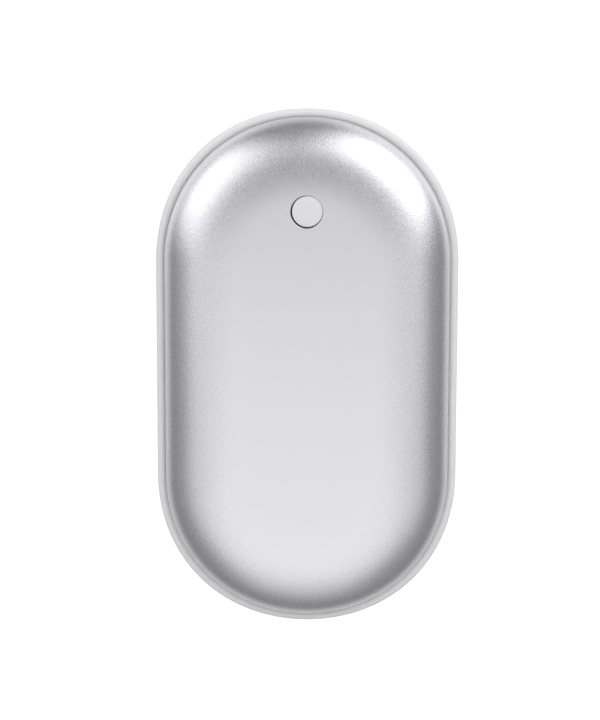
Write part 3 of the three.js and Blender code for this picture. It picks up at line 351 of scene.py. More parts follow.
# Back shell: the same drawing without the hole, turned over. The warmer lies on its flat.
def back_shell_rings():
    """The back shell, from the middle of its outside round the rim to the middle of its inside,
    turned half round about the long axis."""
    outside, inside = shell_face(0, 0, 0), shell_face(0, 0, shell_wall)
    foot_out, foot_in = outside[-1:].copy(), inside[-1:].copy()
    foot_out[..., 2] = foot_in[..., 2] = rim_foot
    rings = np.concatenate([outside, foot_out, foot_in, inside[::-1]])
    rings[..., 0] *= -1
    rings[..., 2] = 2 * middle_height - rings[..., 2]
    return rings


back_skin = add_piece(
    "back_shell_skin",
    closed_mesh("back_shell_skin", back_shell_rings(), shut=False),
    blasted_aluminium,
    "case",
    ["back_shell"],
)
mark_drawn(back_skin.data)

# Band: one milky moulding that holds the shells apart and stands just proud of them, with
# rounded edges, a groove on each side for a shell's rim, and a lip inside each groove.
body_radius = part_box("mid_frame")[1][0]
band_squareness = 0.013
seam_gap = 0.07 * mm
band_round = 0.8 * mm
end_fit = 0.035 * mm
groove_depth = 1.1 * mm
lip_wall, lip_rise, rib_root = 1.2 * mm, 0.8 * mm, 0.15 * mm
rib_squeeze = 0.993
bond_room = 0.3 * mm
lip_outer = rim_radius - shell_wall - bond_room
window_gap, window_corner, window_chamfer = 0.25 * mm, 0.8 * mm, 0.3 * mm
cutter_overrun = 5 * window_chamfer
outlet_width, outlet_height = 13.1 * mm, 5.7 * mm
inlet_width, inlet_height = 7.6 * mm, 2.6 * mm
band_arc_steps, round_steps = 72, 8


def carried_round(section):
    """A closed section of (radius, height) points carried round the racetrack: half a circle
    about each arc centre, joined by straight sides. Points outside the shells' rims follow the
    band's own squarer shoulders."""
    radius, height = np.array(section).T[..., None]
    is_outer = radius > rim_radius + seam_gap + merge_distance
    squareness = np.where(is_outer, band_squareness, shell_squareness)
    half = np.linspace(0, math.pi, band_arc_steps)
    angle = np.concatenate([half, half + math.pi])
    centre = np.repeat([arc_centre - end_fit, end_fit - arc_centre], band_arc_steps)
    reach = radius * shoulder_stretch(np.cos(angle), np.sin(angle), squareness)
    x, y = reach * np.cos(angle), centre + reach * np.sin(angle)
    return np.stack([x, y, np.broadcast_to(height, x.shape)], axis=-1)


def band_section():
    """Half of the band's section, from its round outer edge down into the groove and over the
    lip, and the same half turned over."""
    turns = np.linspace(0, math.pi / 2, round_steps)
    edge = [
        (body_radius - band_round * (1 - math.cos(t)), band_height / 2 - band_round * (1 - math.sin(t)))
        for t in turns
    ]
    groove_outer = rim_radius + seam_gap
    groove_floor = band_height / 2 - groove_depth
    inner = [
        (groove_outer, band_height / 2),
        (groove_outer, groove_floor),
        (lip_outer, groove_floor),
        (lip_outer, band_height / 2 + lip_rise),
        (lip_outer - lip_wall - rib_root, band_height / 2 + lip_rise),
    ]
    upper = edge + inner
    lower = [(radius, -height) for radius, height in reversed(upper)]
    return [(radius, middle_height + height) for radius, height in upper + lower]


def rounded_rectangle(width, height, corner, steps=6):
    """Points round a rectangle with round corners: four quarter circles joined by its sides."""
    quarter = np.linspace(0, math.pi / 2, steps)
    angle = (np.arange(4)[:, None] * math.pi / 2 + quarter).ravel()
    x_sign, z_sign = np.repeat([1, -1, -1, 1], steps), np.repeat([1, 1, -1, -1], steps)
    x = x_sign * (width / 2 - corner) + corner * np.cos(angle)
    z = z_sign * (height / 2 - corner) + corner * np.sin(angle)
    return x, z


def plugged(rings):
    """Closes a stack of rings at both ends with the middle point of each end ring."""
    ends = [np.broadcast_to(ring.mean(axis=0), ring.shape) for ring in (rings[0], rings[-1])]
    return np.concatenate([ends[0][None], rings, ends[1][None]])


def window_cutter(name, node, socket_width, socket_height):
    """The tool for one socket's window: the outline of the socket, hung from its top, with a gap
    round it, flared into a small chamfer where it meets the band's round end."""
    low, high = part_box(node)
    centre_x, centre_z = (low[0] + high[0]) / 2, high[2] - socket_height / 2
    width, height = socket_width + 2 * window_gap, socket_height + 2 * window_gap
    x, z = rounded_rectangle(width, height, window_corner)
    wide_x, wide_z = rounded_rectangle(
        width + 2 * window_chamfer, height + 2 * window_chamfer, window_corner + window_chamfer
    )
    rise = body_radius
    for _ in range(stretch_tries):
        reach = body_radius * shoulder_stretch(centre_x + x, rise, band_squareness)
        rise = np.sqrt(reach**2 - (centre_x + x) ** 2)
    face = arc_centre + rise
    outside = face + cutter_overrun
    steps = [
        (x, z, np.full_like(x, arc_centre)),
        (x, z, face - window_chamfer),
        (wide_x, wide_z, face),
        (wide_x, wide_z, outside),
    ]
    rings = np.array([np.stack([centre_x + px, py, centre_z + pz], axis=-1) for px, pz, py in steps])
    return closed_mesh(name, plugged(rings), shut=False)


def boolean_of(mesh, operation, tool_mesh):
    """A mesh joined with, cut by or kept inside a tool's mesh."""
    piece, tool = bpy.data.objects.new("piece", mesh), bpy.data.objects.new("tool", tool_mesh)
    for thing in (piece, tool):
        bpy.context.scene.collection.objects.link(thing)
    step = piece.modifiers.new("step", "BOOLEAN")
    step.operation, step.object, step.solver = operation, tool, "EXACT"
    graph = bpy.context.evaluated_depsgraph_get()
    result = bpy.data.meshes.new_from_object(piece.evaluated_get(graph))
    for thing in (piece, tool):
        bpy.data.objects.remove(thing)
    merge_doubles(result)
    return result


def band_mesh():
    """The band's ring, joined with the ribs, the bulkhead and the bosses that the source's band
    has inside its cavity, and cut by both windows. These are a hair lower than in the source, so
    that no two faces to be joined share a plane."""
    inside_radius = lip_outer - lip_wall
    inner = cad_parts["mid_frame"].data.copy()
    merge_doubles(inner)
    inner.transform(Matrix.Scale(rib_squeeze, 4, (0, 0, 1)))
    inner.transform(Matrix.Translation((0, 0, middle_height * (1 - rib_squeeze))))
    roof = 2 * middle_height
    room = carried_round([(0, 0), (inside_radius, 0), (inside_radius, roof), (0, roof)])
    room[(0, 3), :, :2] = 0
    inner = boolean_of(inner, "INTERSECT", closed_mesh("room", room, shut=False))
    ring = boolean_of(closed_mesh("ring", carried_round(band_section())), "UNION", inner)
    outlet = window_cutter("outlet_window", "usb_a_shell", outlet_width, outlet_height)
    inlet = window_cutter("inlet_window", "micro_usb_shell", inlet_width, inlet_height)
    return boolean_of(boolean_of(ring, "DIFFERENCE", outlet), "DIFFERENCE", inlet)


def lit_inside(shader, weight, depth):
    """Lets light spread under a surface, alike in every colour, to a depth."""
    shader.inputs["Subsurface Weight"].default_value = weight
    shader.inputs["Subsurface Radius"].default_value = (1.0, 1.0, 1.0)
    shader.inputs["Subsurface Scale"].default_value = depth


milky_plastic, milky_shader = textured_finish(
    "milky_plastic", (0.89, 0.885, 0.9), (0.34, 0.42), 0.6 * mm, 0.004 * mm, fade=0.99
)
lit_inside(milky_shader, 0.7, 0.9 * mm)
add_piece("band", band_mesh(), milky_plastic, "case", ["mid_frame"])

# Bond rings: a bead of black sealant between each shell's rim and the band's lip. It is laid by
# a needle, so that it has a slightly wavy skin.
bond_play = 0.05 * mm
sealant, _ = textured_finish("sealant", (0.07, 0.07, 0.075), (0.5, 0.7), 0.5 * mm, 0.03 * mm, fade=0.8)
for node in ("front_bond_ring", "back_bond_ring"):
    ring_low, ring_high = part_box(node)
    ring_outer, ring_inner = rim_radius - shell_wall - bond_play, lip_outer + bond_play
    ring_section = [
        (ring_inner, ring_low[2]),
        (ring_outer, ring_low[2]),
        (ring_outer, ring_high[2]),
        (ring_inner, ring_high[2]),
    ]
    ring_mesh = closed_mesh(f"{node}_bead", carried_round(ring_section))
    add_piece(f"{node}_bead", ring_mesh, sealant, "case", [node])

# Button: a crowned cap of smooth white plastic with a rounded edge, its flange trapped behind
# the shell, and a stem that reaches down to the switch. Its flank and its flange are coloured
# near black as painted shade, so that the gap round the cap looks as dark as shade makes it.
cap_radius = 2.95 * mm
cap_crown = 0.12 * mm
cap_edge = 0.12 * mm
flange_radius = button_high[0]
flange_play, flange_thickness = 0.1 * mm, 0.8 * mm
flange_top = crown_height - shell_wall - flange_play
flange_foot = flange_top - flange_thickness
stem_radius = 1.5 * mm
button_columns = 96
cap_lean = (0.13 * mm, 0.09 * mm)


def turned_rings(profile, centre_y, columns):
    """A profile of (radius, height) points turned about the upright line through (0, centre_y)."""
    radius, height = np.array(profile).T[..., None]
    angle = np.arange(columns) / columns * 2 * math.pi
    x, y = radius * np.cos(angle), centre_y + radius * np.sin(angle)
    return np.stack([x, y, np.broadcast_to(height, x.shape)], axis=-1)


def button_profile():
    """From the stem's foot over the flange and the rounded edge to the middle of the crown."""
    cap_top = button_high[2]
    turns = np.linspace(0, math.pi / 2, round_steps)
    edge_height = cap_top - cap_crown - cap_edge
    edge = [
        (cap_radius - cap_edge * (1 - math.cos(t)), edge_height + cap_edge * math.sin(t)) for t in turns
    ]
    crown = [
        (share * (cap_radius - cap_edge), cap_top - cap_crown * share**2)
        for share in np.linspace(1, 0, round_steps)[1:]
    ]
    stem = [
        (0, button_low[2]),
        (stem_radius, button_low[2]),
        (stem_radius, flange_foot),
        (flange_radius, flange_foot),
        (flange_radius, flange_top),
        (cap_radius, flange_top),
    ]
    return stem + edge + crown


def button_rings():
    """The button's profile turned round, and moved up and right by the play in its hole."""
    rings = turned_rings(button_profile(), button_y, button_columns)
    rings[..., :2] += np.array(cap_lean)
    return rings


button_plastic, button_shader = textured_finish(
    "button_plastic", (0.86, 0.85, 0.87), (0.28, 0.34), 0.8 * mm, 0.003 * mm, fade=0.99
)
lit_inside(button_shader, 0.2, 0.4 * mm)
painted_gap_shade, _ = textured_finish("painted_gap_shade", (0.02, 0.02, 0.022), (0.5, 0.65), 0.3 * mm, 0.003 * mm)
button = add_piece(
    "button",
    closed_mesh("button", button_rings(), shut=False),
    button_plastic,
    "button",
    ["button_cap"],
)
button.data.materials.append(painted_gap_shade)
# The faces of the cap's flank and flange take the near-black material: painted shade in the gap round the
# cap.
face_heights = vectors_of(button.data.polygons, "center")[:, 2]
painted_shade_top = button_high[2] - cap_crown - cap_edge
painted_shade_faces = (face_heights > flange_foot + merge_distance) & (face_heights < painted_shade_top)
button.data.polygons.foreach_set("material_index", painted_shade_faces.astype(np.int32))

# Button guide: a turned collar of white nylon, bonded behind the shell by its wide foot. It traps
# the button's flange, and its bore keeps the stem upright.
guide_low, guide_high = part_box("button_guide")
guide_foot_radius = guide_high[0]
guide_foot, guide_foot_width, guide_wall, guide_floor = 0.8 * mm, 1.4 * mm, 1.1 * mm, 0.8 * mm
guide_play = 0.25 * mm
moulding_corner = 0.12 * mm
corner_share = 0.49


def eased(points, radius, closed=True, steps=5):
    """A path whose corners are rounded: each corner becomes a parabola that leaves both of its
    sides a radius from the corner, or near their middles where they are short. An open path
    keeps its two ends."""
    corner = np.array(points, dtype=float)
    turn = np.linspace(0, 1, steps)[None, :, None]
    ends = []
    for beside in (np.roll(corner, 1, axis=0), np.roll(corner, -1, axis=0)):
        side = beside - corner
        length = np.linalg.norm(side, axis=1, keepdims=True)
        ends.append(corner + side * np.minimum(radius / length, corner_share))
    curve = (1 - turn) ** 2 * ends[0][:, None] + 2 * turn * (1 - turn) * corner[:, None]
    curve += turn**2 * ends[1][:, None]
    if closed:
        return curve.reshape(-1, 2)
    return np.concatenate([corner[:1], curve[1:-1].reshape(-1, 2), corner[-1:]])


nylon, _ = textured_finish("nylon", (0.86, 0.86, 0.83), (0.42, 0.52), 0.25 * mm, 0.006 * mm)
guide_outer = guide_foot_radius - guide_foot_width
guide_bore = stem_radius + guide_play
guide_profile = [
    (guide_bore, guide_low[2]),
    (guide_outer, guide_low[2]),
    (guide_outer, guide_high[2] - guide_foot),
    (guide_foot_radius, guide_high[2] - guide_foot),
    (guide_foot_radius, guide_high[2]),
    (guide_outer - guide_wall, guide_high[2]),
    (guide_outer - guide_wall, guide_low[2] + guide_floor),
    (guide_bore, guide_low[2] + guide_floor),
]
guide_rings = turned_rings(eased(guide_profile, moulding_corner), button_y, button_columns)
guide_collar = closed_mesh("guide_collar", guide_rings)
add_piece("guide_collar", guide_collar, nylon, "case", ["button_guide"])

# Heating films: amber polyimide with a copper track etched on the face towards the cells. The
# track is the layer that lies nearest to the band's middle plane.
track_layer = 11.68 * mm
copper_colour = (0.76, 0.38, 0.24, 1)
facet_turn = math.radians(0.5)


def finished_copy(node, material, edge=0.0, body="case", crease=32):
    """A piece with the source's own shape of a node, its flat facets joined into whole faces and
    its corners rounded by a bevel of a width. It stands for that node."""
    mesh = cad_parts[node].data.copy()
    mesh.name = f"{node}_piece"
    mesh.materials.clear()
    for layer in [a.name for a in mesh.attributes if a.name == "custom_normal"]:
        mesh.attributes.remove(mesh.attributes[layer])
    merge_doubles(mesh, facet_turn)
    piece = add_piece(f"{node}_piece", mesh, material, body, [node], crease)
    if edge:
        bevel = piece.modifiers.new("edge", "BEVEL")
        bevel.width, bevel.segments, bevel.limit_method = edge, 2, "ANGLE"
        bevel.angle_limit, bevel.harden_normals = math.radians(crease), True
    return piece


amber = ((0.50, 0.21, 0.04), (0.22, 0.34), 1.5 * mm, 0.01 * mm)
amber_film, _ = textured_finish("amber_film", *amber)
etched_film, etched_shader = textured_finish("etched_film", *amber)
etched_nodes, etched_links = etched_film.node_tree.nodes, etched_film.node_tree.links
etched_place = etched_nodes.new("ShaderNodeTexCoord")
etched_height = etched_nodes.new("ShaderNodeSeparateXYZ")
from_middle, depth_in, is_track = (etched_nodes.new("ShaderNodeMath") for _ in range(3))
from_middle.operation, depth_in.operation, is_track.operation = "SUBTRACT", "ABSOLUTE", "LESS_THAN"
from_middle.inputs[1].default_value = middle_height
is_track.inputs[1].default_value = track_layer
etched_tone = etched_nodes.new("ShaderNodeMix")
etched_tone.data_type = "RGBA"
etched_tone.inputs["B"].default_value = copper_colour
etched_links.new(etched_place.outputs["Object"], etched_height.inputs["Vector"])
etched_links.new(etched_height.outputs["Z"], from_middle.inputs[0])
etched_links.new(from_middle.outputs["Value"], depth_in.inputs[0])
etched_links.new(depth_in.outputs["Value"], is_track.inputs[0])
etched_links.new(is_track.outputs["Value"], etched_tone.inputs["Factor"])
etched_links.new(etched_shader.inputs["Base Color"].links[0].from_socket, etched_tone.inputs["A"])
etched_links.new(etched_tone.outputs["Result"], etched_shader.inputs["Base Color"])
etched_links.new(is_track.outputs["Value"], etched_shader.inputs["Metallic"])
for node in ("front_heater", "back_heater"):
    finished_copy(node, etched_film)

# Foam pads: die-cut closed-cell foam, squeezed between the cells and the films, with a slot in
# which the thermistor lies. Their cut edges are a little rounded by the squeeze.
pad_edge = 0.5 * mm
cell_foam, _ = textured_finish(
    "cell_foam", (0.095, 0.095, 0.10), (0.85, 1.0), 0.35 * mm, 0.12 * mm, fade=0.6
)
for node in ("front_foam_pad", "back_foam_pad"):
    finished_copy(node, cell_foam, edge=pad_edge)

# Thermistor: a glass bead at the end of an amber film strip that lies on the back film.
finished_copy("thermistor", amber_film, edge=0.06 * mm)

# Cells: two plated steel cans, drawn and crimped round a pressed cap, in shrunk blue sleeves that
# hold a paper washer over the cap's end. They lie side by side along the warmer.
can_edge, crimp_depth, crimp_width, crimp_setback = 0.6 * mm, 0.7 * mm, 1.4 * mm, 2.6 * mm
cap_rise, can_cap_radius = 0.8 * mm, 3.2 * mm
sleeve_wall, sleeve_fold = 0.15 * mm, 2.2 * mm
washer_hole = 4.2 * mm
can_columns = 128


def turned_along(profile, centre_x, centre_z):
    """A profile of (radius, y) points turned about the line along Y through (centre_x, centre_z)."""
    radius, along = np.array(profile).T[..., None]
    angle = np.arange(can_columns) / can_columns * 2 * math.pi
    x, z = centre_x + radius * np.cos(angle), centre_z + radius * np.sin(angle)
    return np.stack([x, np.broadcast_to(along, x.shape), z], axis=-1)


plated_can, _ = textured_finish(
    "plated_can",
    (0.64, 0.64, 0.65),
    (0.2, 0.38),
    0.15 * mm,
    0.004 * mm,
    metallic=1.0,
    stretch=(0.05, 1, 0.05),
)
blue_sleeve, _ = textured_finish("blue_sleeve", (0.10, 0.26, 0.52), (0.28, 0.4), 1.2 * mm, 0.02 * mm)
fish_paper, _ = textured_finish(
    "fish_paper", (0.72, 0.76, 0.70), (0.8, 0.95), 0.3 * mm, 0.02 * mm, fade=0.88
)
for side in ("left", "right"):
    can_low, can_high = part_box(f"cell_{side}")
    can_radius = (can_high[0] - can_low[0]) / 2
    can_x, can_z = (can_low[0] + can_high[0]) / 2, (can_low[2] + can_high[2]) / 2
    can_top = can_high[1] - cap_rise
    crimp = can_top - crimp_setback
    can_profile = [
        (0, can_low[1]),
        (can_radius, can_low[1]),
        (can_radius, crimp - crimp_width / 2),
        (can_radius - crimp_depth, crimp),
        (can_radius, crimp + crimp_width / 2),
        (can_radius, can_top),
        (can_cap_radius, can_top),
        (can_cap_radius, can_high[1]),
        (0, can_high[1]),
    ]
    can_rings = turned_along(eased(can_profile, can_edge, closed=False), can_x, can_z)
    can = closed_mesh(f"can_{side}", can_rings, shut=False)
    add_piece(f"can_{side}", can, plated_can, "case", [f"cell_{side}"])
    washer_low, washer_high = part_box(f"cell_{side}_washer")
    washer_outer = (washer_high[0] - washer_low[0]) / 2
    washer_profile = [
        (washer_hole, washer_low[1]),
        (washer_outer, washer_low[1]),
        (washer_outer, washer_high[1]),
        (washer_hole, washer_high[1]),
    ]
    washer = closed_mesh(f"washer_{side}", turned_along(washer_profile, can_x, can_z))
    add_piece(f"washer_{side}", washer, fish_paper, "case", [f"cell_{side}_washer"])
    sleeve_low, sleeve_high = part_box(f"cell_{side}_sleeve")
    sleeve_outer = (sleeve_high[0] - sleeve_low[0]) / 2
    mouth = can_radius - sleeve_fold
    outer_side = [
        (mouth, sleeve_low[1]),
        (sleeve_outer, sleeve_low[1]),
        (sleeve_outer, sleeve_high[1]),
        (mouth, sleeve_high[1]),
    ]
    inner_side = [
        (mouth, sleeve_high[1] - sleeve_wall),
        (sleeve_outer - sleeve_wall, sleeve_high[1] - sleeve_wall),
        (sleeve_outer - sleeve_wall, sleeve_low[1] + sleeve_wall),
        (mouth, sleeve_low[1] + sleeve_wall),
    ]
    outer_path = eased(outer_side, can_edge, closed=False)
    inner_path = eased(inner_side, can_edge - sleeve_wall, closed=False)
    sleeve_rings = turned_along(np.concatenate([outer_path, inner_path]), can_x, can_z)
    sleeve = closed_mesh(f"sleeve_{side}", sleeve_rings)
    add_piece(f"sleeve_{side}", sleeve, blue_sleeve, "case", [f"cell_{side}_sleeve"])

# Strips and paper: nickel strips, rolled and slit, are spot welded across the cells' ends, and a
# sheet of fish paper keeps the upper one off the bulkhead.
rolled_nickel, _ = textured_finish(
    "rolled_nickel",
    (0.66, 0.64, 0.58),
    (0.22, 0.36),
    0.12 * mm,
    0.003 * mm,
    metallic=1.0,
    stretch=(0.04, 1, 1),
)
for node in ("positive_strip", "negative_strip"):
    finished_copy(node, rolled_nickel, edge=0.03 * mm)
finished_copy("insulating_paper", fish_paper)

# Board: green solder mask over a glass laminate. The copper under the mask shows as paler lines.
trace_length, trace_pitch, trace_width = 5.2 * mm, 0.9 * mm, 0.12 * mm
mask_green, mask_shader = textured_finish(
    "mask_green", (0.02, 0.14, 0.07), (0.3, 0.42), 0.4 * mm, 0.006 * mm
)
mask_nodes, mask_links = mask_green.node_tree.nodes, mask_green.node_tree.links
mask_place, traces, mask_tone = (
    mask_nodes.new(kind) for kind in ("ShaderNodeTexCoord", "ShaderNodeTexBrick", "ShaderNodeMix")
)
traces.inputs["Scale"].default_value = 1
traces.inputs["Brick Width"].default_value = trace_length
traces.inputs["Row Height"].default_value = trace_pitch
traces.inputs["Mortar Size"].default_value = trace_width
mask_tone.data_type = "RGBA"
mask_tone.inputs["B"].default_value = (0.05, 0.27, 0.12, 1)
mask_links.new(mask_place.outputs["Object"], traces.inputs["Vector"])
mask_links.new(traces.outputs["Fac"], mask_tone.inputs["Factor"])
mask_links.new(mask_shader.inputs["Base Color"].links[0].from_socket, mask_tone.inputs["A"])
mask_links.new(mask_tone.outputs["Result"], mask_shader.inputs["Base Color"])
finished_copy("main_board", mask_green, edge=0.05 * mm)

# Board screws: zinc-plated steel, headed and cross-recessed, driven through the board into the
# band's bosses.
zinc_steel, _ = textured_finish(
    "zinc_steel", (0.74, 0.75, 0.77), (0.2, 0.34), 0.2 * mm, 0.004 * mm, metallic=1.0
)
for side in ("left", "right"):
    finished_copy(f"board_screw_{side}", zinc_steel, edge=0.06 * mm, crease=50)

# Power outlet: a folded tinned-steel shell with four spring fingers, a white insulator whose
# tongue stands in it, and four gold-plated contacts let into the tongue.
tinned_steel, _ = textured_finish(
    "tinned_steel", (0.76, 0.77, 0.78), (0.16, 0.3), 0.1 * mm, 0.003 * mm, metallic=1.0, stretch=(1, 0.05, 1)
)
gold_plate, _ = textured_finish(
    "gold_plate", (0.83, 0.62, 0.27), (0.15, 0.28), 0.1 * mm, 0.002 * mm, metallic=1.0, stretch=(1, 0.06, 1)
)
finished_copy("usb_a_shell", tinned_steel, edge=0.09 * mm)
finished_copy("usb_a_insulator", nylon, edge=0.1 * mm)
for place in range(1, 5):
    finished_copy(f"usb_a_contact_{place}", gold_plate, edge=0.05 * mm)

# Charging socket: a smaller folded shell with drawn-in shoulders, and its black tongue.
black_moulding, _ = textured_finish(
    "black_moulding", (0.03, 0.03, 0.033), (0.4, 0.56), 0.12 * mm, 0.008 * mm
)
finished_copy("micro_usb_shell", tinned_steel, edge=0.08 * mm)
finished_copy("micro_usb_tongue", black_moulding, edge=0.06 * mm)

# Tact switch: a black base with a round well, a pressed cover, and the turned plunger that it
# traps. The plunger follows the button.
plunger_low, plunger_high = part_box("switch_plunger")
plunger_radius, plunger_flange = 1.7 * mm, 0.7 * mm
finished_copy("switch_base", black_moulding, edge=0.08 * mm)
finished_copy("switch_cover", tinned_steel, edge=0.05 * mm)
plunger_profile = [
    (0, plunger_low[2]),
    (plunger_high[0], plunger_low[2]),
    (plunger_high[0], plunger_low[2] + plunger_flange),
    (plunger_radius, plunger_low[2] + plunger_flange),
    (plunger_radius, plunger_high[2]),
    (0, plunger_high[2]),
]
plunger_path = eased(plunger_profile, moulding_corner, closed=False)
plunger_rings = turned_rings(plunger_path, button_y, button_columns)
plunger = closed_mesh("plunger_post", plunger_rings, shut=False)
add_piece("plunger_post", plunger, black_moulding, "plunger", ["switch_plunger"])

# Board parts: two chips and a transistor in black epoxy, a ferrite drum, a capacitor in a pressed
# can, and two indicator lights under the cap.
ferrite_drum, _ = textured_finish(
    "ferrite_drum", (0.055, 0.058, 0.068), (0.55, 0.75), 0.12 * mm, 0.02 * mm, fade=0.8
)
clear_resin, _ = textured_finish("clear_resin", (0.92, 0.88, 0.66), (0.12, 0.2), 0.4 * mm, 0.004 * mm)
for node in ("charge_chip", "control_chip", "heater_transistor"):
    finished_copy(node, black_moulding, edge=0.06 * mm)
for side in ("left", "right"):
    finished_copy(f"status_led_{side}", clear_resin, edge=0.08 * mm)
finished_copy("power_inductor", ferrite_drum, edge=0.08 * mm)
finished_copy("output_capacitor", plated_can)

# Wires: stranded copper in smooth PVC, soldered to the tabs, the films' ears and the board.
wire_crease = 75
red_pvc, _ = textured_finish("red_pvc", (0.52, 0.03, 0.025), (0.35, 0.48), 0.8 * mm, 0.01 * mm)
black_pvc, _ = textured_finish("black_pvc", (0.025, 0.025, 0.028), (0.35, 0.48), 0.8 * mm, 0.01 * mm)
white_pvc, _ = textured_finish("white_pvc", (0.83, 0.83, 0.80), (0.35, 0.48), 0.8 * mm, 0.01 * mm)
finished_copy("battery_wire_red", red_pvc, crease=wire_crease)
finished_copy("battery_wire_black", black_pvc, crease=wire_crease)
for lead in ("front_heater_wire", "back_heater_wire", "thermistor_wire"):
    for side in ("left", "right"):
        finished_copy(f"{lead}_{side}", white_pvc, crease=wire_crease)

# Floor: its colour is a painted pool of light, white round the warmer and falling off to a pale
# grey beyond the view, so that only the lowest edge of the shells mirrors white. It also glows:
# towards the camera, so that it is seen plain white but for the shadow, and near the warmer in
# reflections, most in two corners beyond it, as a painted reflection on the shells.
floor_side = 6.0
white_reach = (0.167, 0.189)
white_start = 0.82
near_white, far_grey = 0.8, 0.125
near_glow, far_glow = 0.6, 1.0
mirrored_glow = (0.136, 0.34)
lit_corner = (600 * mm**2, 2200 * mm**2)
sheet_index, sheet_roughness = 2.0, 0.25
floor_mesh = bpy.data.meshes.new("floor")
corner = floor_side / 2
floor_corners = [(-corner, -corner, 0), (corner, -corner, 0), (corner, corner, 0), (-corner, corner, 0)]
floor_mesh.from_pydata(floor_corners, [], [(0, 1, 2, 3)])
floor_painted_pool = bpy.data.materials.new("floor_painted_pool")
floor_painted_pool.use_nodes = True
sheet_nodes, sheet_links = floor_painted_pool.node_tree.nodes, floor_painted_pool.node_tree.links
sheet_shader = sheet_nodes["Principled BSDF"]
sheet_shader.inputs["Roughness"].default_value = sheet_roughness
sheet_shader.inputs["IOR"].default_value = sheet_index
sheet_place = sheet_nodes.new("ShaderNodeTexCoord")
sheet_reach = sheet_nodes.new("ShaderNodeMapping")
sheet_reach.inputs["Scale"].default_value = (1 / white_reach[0], 1 / white_reach[1], 1)
# The colour falls off from white round the warmer to grey beyond: a painted pool of light.
painted_pool_fall = sheet_nodes.new("ShaderNodeTexGradient")
painted_pool_fall.gradient_type = "SPHERICAL"
painted_pool_tone = sheet_nodes.new("ShaderNodeMix")
painted_pool_tone.data_type = "RGBA"
painted_pool_tone.inputs["A"].default_value = (far_grey, far_grey, far_grey, 1)
painted_pool_tone.inputs["B"].default_value = (near_white, near_white, near_white, 1)
sheet_links.new(sheet_place.outputs["Object"], sheet_reach.inputs["Vector"])
sheet_links.new(sheet_reach.outputs["Vector"], painted_pool_fall.inputs["Vector"])
sheet_seen = sheet_nodes.new("ShaderNodeMath")
sheet_seen.operation = "MAXIMUM"
sheet_edge = sheet_nodes.new("ShaderNodeMapRange")
sheet_edge.interpolation_type = "SMOOTHSTEP"
sheet_edge.inputs["From Max"].default_value = white_start
sheet_links.new(painted_pool_fall.outputs["Fac"], sheet_edge.inputs["Value"])
sheet_links.new(sheet_edge.outputs["Result"], sheet_seen.inputs[0])
sheet_links.new(sheet_seen.outputs["Value"], painted_pool_tone.inputs["Factor"])
sheet_links.new(painted_pool_tone.outputs["Result"], sheet_shader.inputs["Base Color"])
sheet_ray = sheet_nodes.new("ShaderNodeLightPath")
sheet_links.new(sheet_ray.outputs["Is Camera Ray"], sheet_seen.inputs[1])
sheet_lift = sheet_nodes.new("ShaderNodeMapRange")
sheet_lift.inputs["To Min"].default_value = far_glow
sheet_lift.inputs["To Max"].default_value = near_glow
sheet_links.new(sheet_edge.outputs["Result"], sheet_lift.inputs["Value"])
sheet_glow = sheet_nodes.new("ShaderNodeMath")
sheet_glow.operation = "MULTIPLY"
sheet_links.new(sheet_lift.outputs["Result"], sheet_glow.inputs[1])
sheet_links.new(sheet_ray.outputs["Is Camera Ray"], sheet_glow.inputs[0])
sheet_shader.inputs["Emission Color"].default_value = (1, 1, 1, 1)
mirrored_share, mirrored_light, whole_glow = (sheet_nodes.new("ShaderNodeMath") for _ in range(3))
mirrored_share.operation, mirrored_light.operation, whole_glow.operation = "MULTIPLY", "MULTIPLY", "ADD"
sheet_along, sheet_corner = sheet_nodes.new("ShaderNodeSeparateXYZ"), sheet_nodes.new("ShaderNodeMapRange")
beside_axis, corner_area = sheet_nodes.new("ShaderNodeMath"), sheet_nodes.new("ShaderNodeMath")
beside_axis.operation, corner_area.operation = "ABSOLUTE", "MULTIPLY"
sheet_corner.interpolation_type = "SMOOTHSTEP"
sheet_corner.inputs["From Min"].default_value, sheet_corner.inputs["From Max"].default_value = lit_corner
sheet_corner.inputs["To Min"].default_value, sheet_corner.inputs["To Max"].default_value = mirrored_glow
sheet_links.new(sheet_place.outputs["Object"], sheet_along.inputs["Vector"])
sheet_links.new(sheet_along.outputs["X"], beside_axis.inputs[0])
sheet_links.new(beside_axis.outputs["Value"], corner_area.inputs[0])
sheet_links.new(sheet_along.outputs["Y"], corner_area.inputs[1])
sheet_links.new(corner_area.outputs["Value"], sheet_corner.inputs["Value"])
sheet_links.new(sheet_corner.outputs["Result"], mirrored_light.inputs[1])
sheet_links.new(sheet_ray.outputs["Is Glossy Ray"], mirrored_share.inputs[0])
sheet_links.new(sheet_edge.outputs["Result"], mirrored_share.inputs[1])
sheet_links.new(mirrored_share.outputs["Value"], mirrored_light.inputs[0])
sheet_links.new(sheet_glow.outputs["Value"], whole_glow.inputs[0])
sheet_links.new(mirrored_light.outputs["Value"], whole_glow.inputs[1])
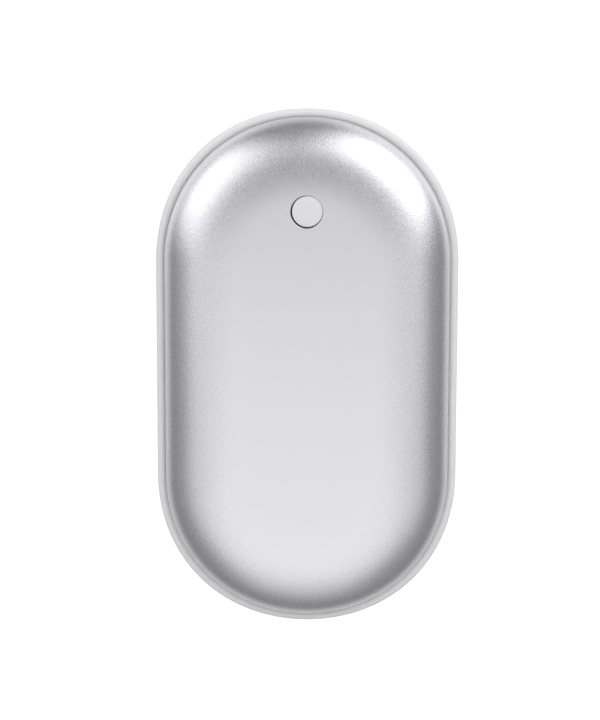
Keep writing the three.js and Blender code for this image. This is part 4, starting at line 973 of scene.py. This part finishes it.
sheet_links.new(whole_glow.outputs["Value"], sheet_shader.inputs["Emission Strength"])
floor_mesh.materials.append(floor_painted_pool)
floor = bpy.data.objects.new("floor", floor_mesh)
bpy.context.scene.collection.objects.link(floor)


# Light: two soft panels overhead on the near side, and a soft box beyond each shoulder, fitted
# to what the shell mirrors. The room lights and is mirrored as a plain grey, and the camera
# sees it white.
lamp_distance = 1.2


def soft_panel(name, azimuth, elevation, width, height, radiance):
    """A rectangular lamp that faces the warmer from an azimuth and elevation, in degrees, as
    bright as a surface of that radiance."""
    lamp = bpy.data.lights.new(name, "AREA")
    lamp.shape = "RECTANGLE"
    lamp.size, lamp.size_y = height, width
    lamp.energy = radiance * math.pi * width * height
    panel = bpy.data.objects.new(name, lamp)
    panel.matrix_world = (
        Matrix.Translation((0, 0, middle_height))
        @ Matrix.Rotation(math.radians(azimuth), 4, "Z")
        @ Matrix.Rotation(math.radians(90 - elevation), 4, "Y")
        @ Matrix.Translation((0, 0, lamp_distance))
    )
    panel.visible_camera = False
    bpy.context.scene.collection.objects.link(panel)


soft_panel("overhead_panel", 271, 71.5, 2.88, 1.13, 0.42)
soft_panel("near_panel", 265.8, 55.7, 1.085, 1.445, 0.337)
soft_panel("right_soft_box", 47.2, 28.3, 1.14, 1.25, 1.7)
soft_panel("left_soft_box", 143.4, 28.3, 1.03, 1.25, 1.22)
room_grey, camera_white = 0.3, 1.0
room = bpy.data.worlds.new("room")
room.use_nodes = True
room_nodes, room_links = room.node_tree.nodes, room.node_tree.links
room_ray = room_nodes.new("ShaderNodeLightPath")
room_tone = room_nodes.new("ShaderNodeMapRange")
room_tone.inputs["To Min"].default_value = room_grey
room_tone.inputs["To Max"].default_value = camera_white
room_links.new(room_ray.outputs["Is Camera Ray"], room_tone.inputs["Value"])
room_nodes["Background"].inputs["Color"].default_value = (1, 1, 1, 1)
room_links.new(room_tone.outputs["Result"], room_nodes["Background"].inputs["Strength"])
bpy.context.scene.world = room
bpy.context.scene.view_settings.view_transform = "Standard"
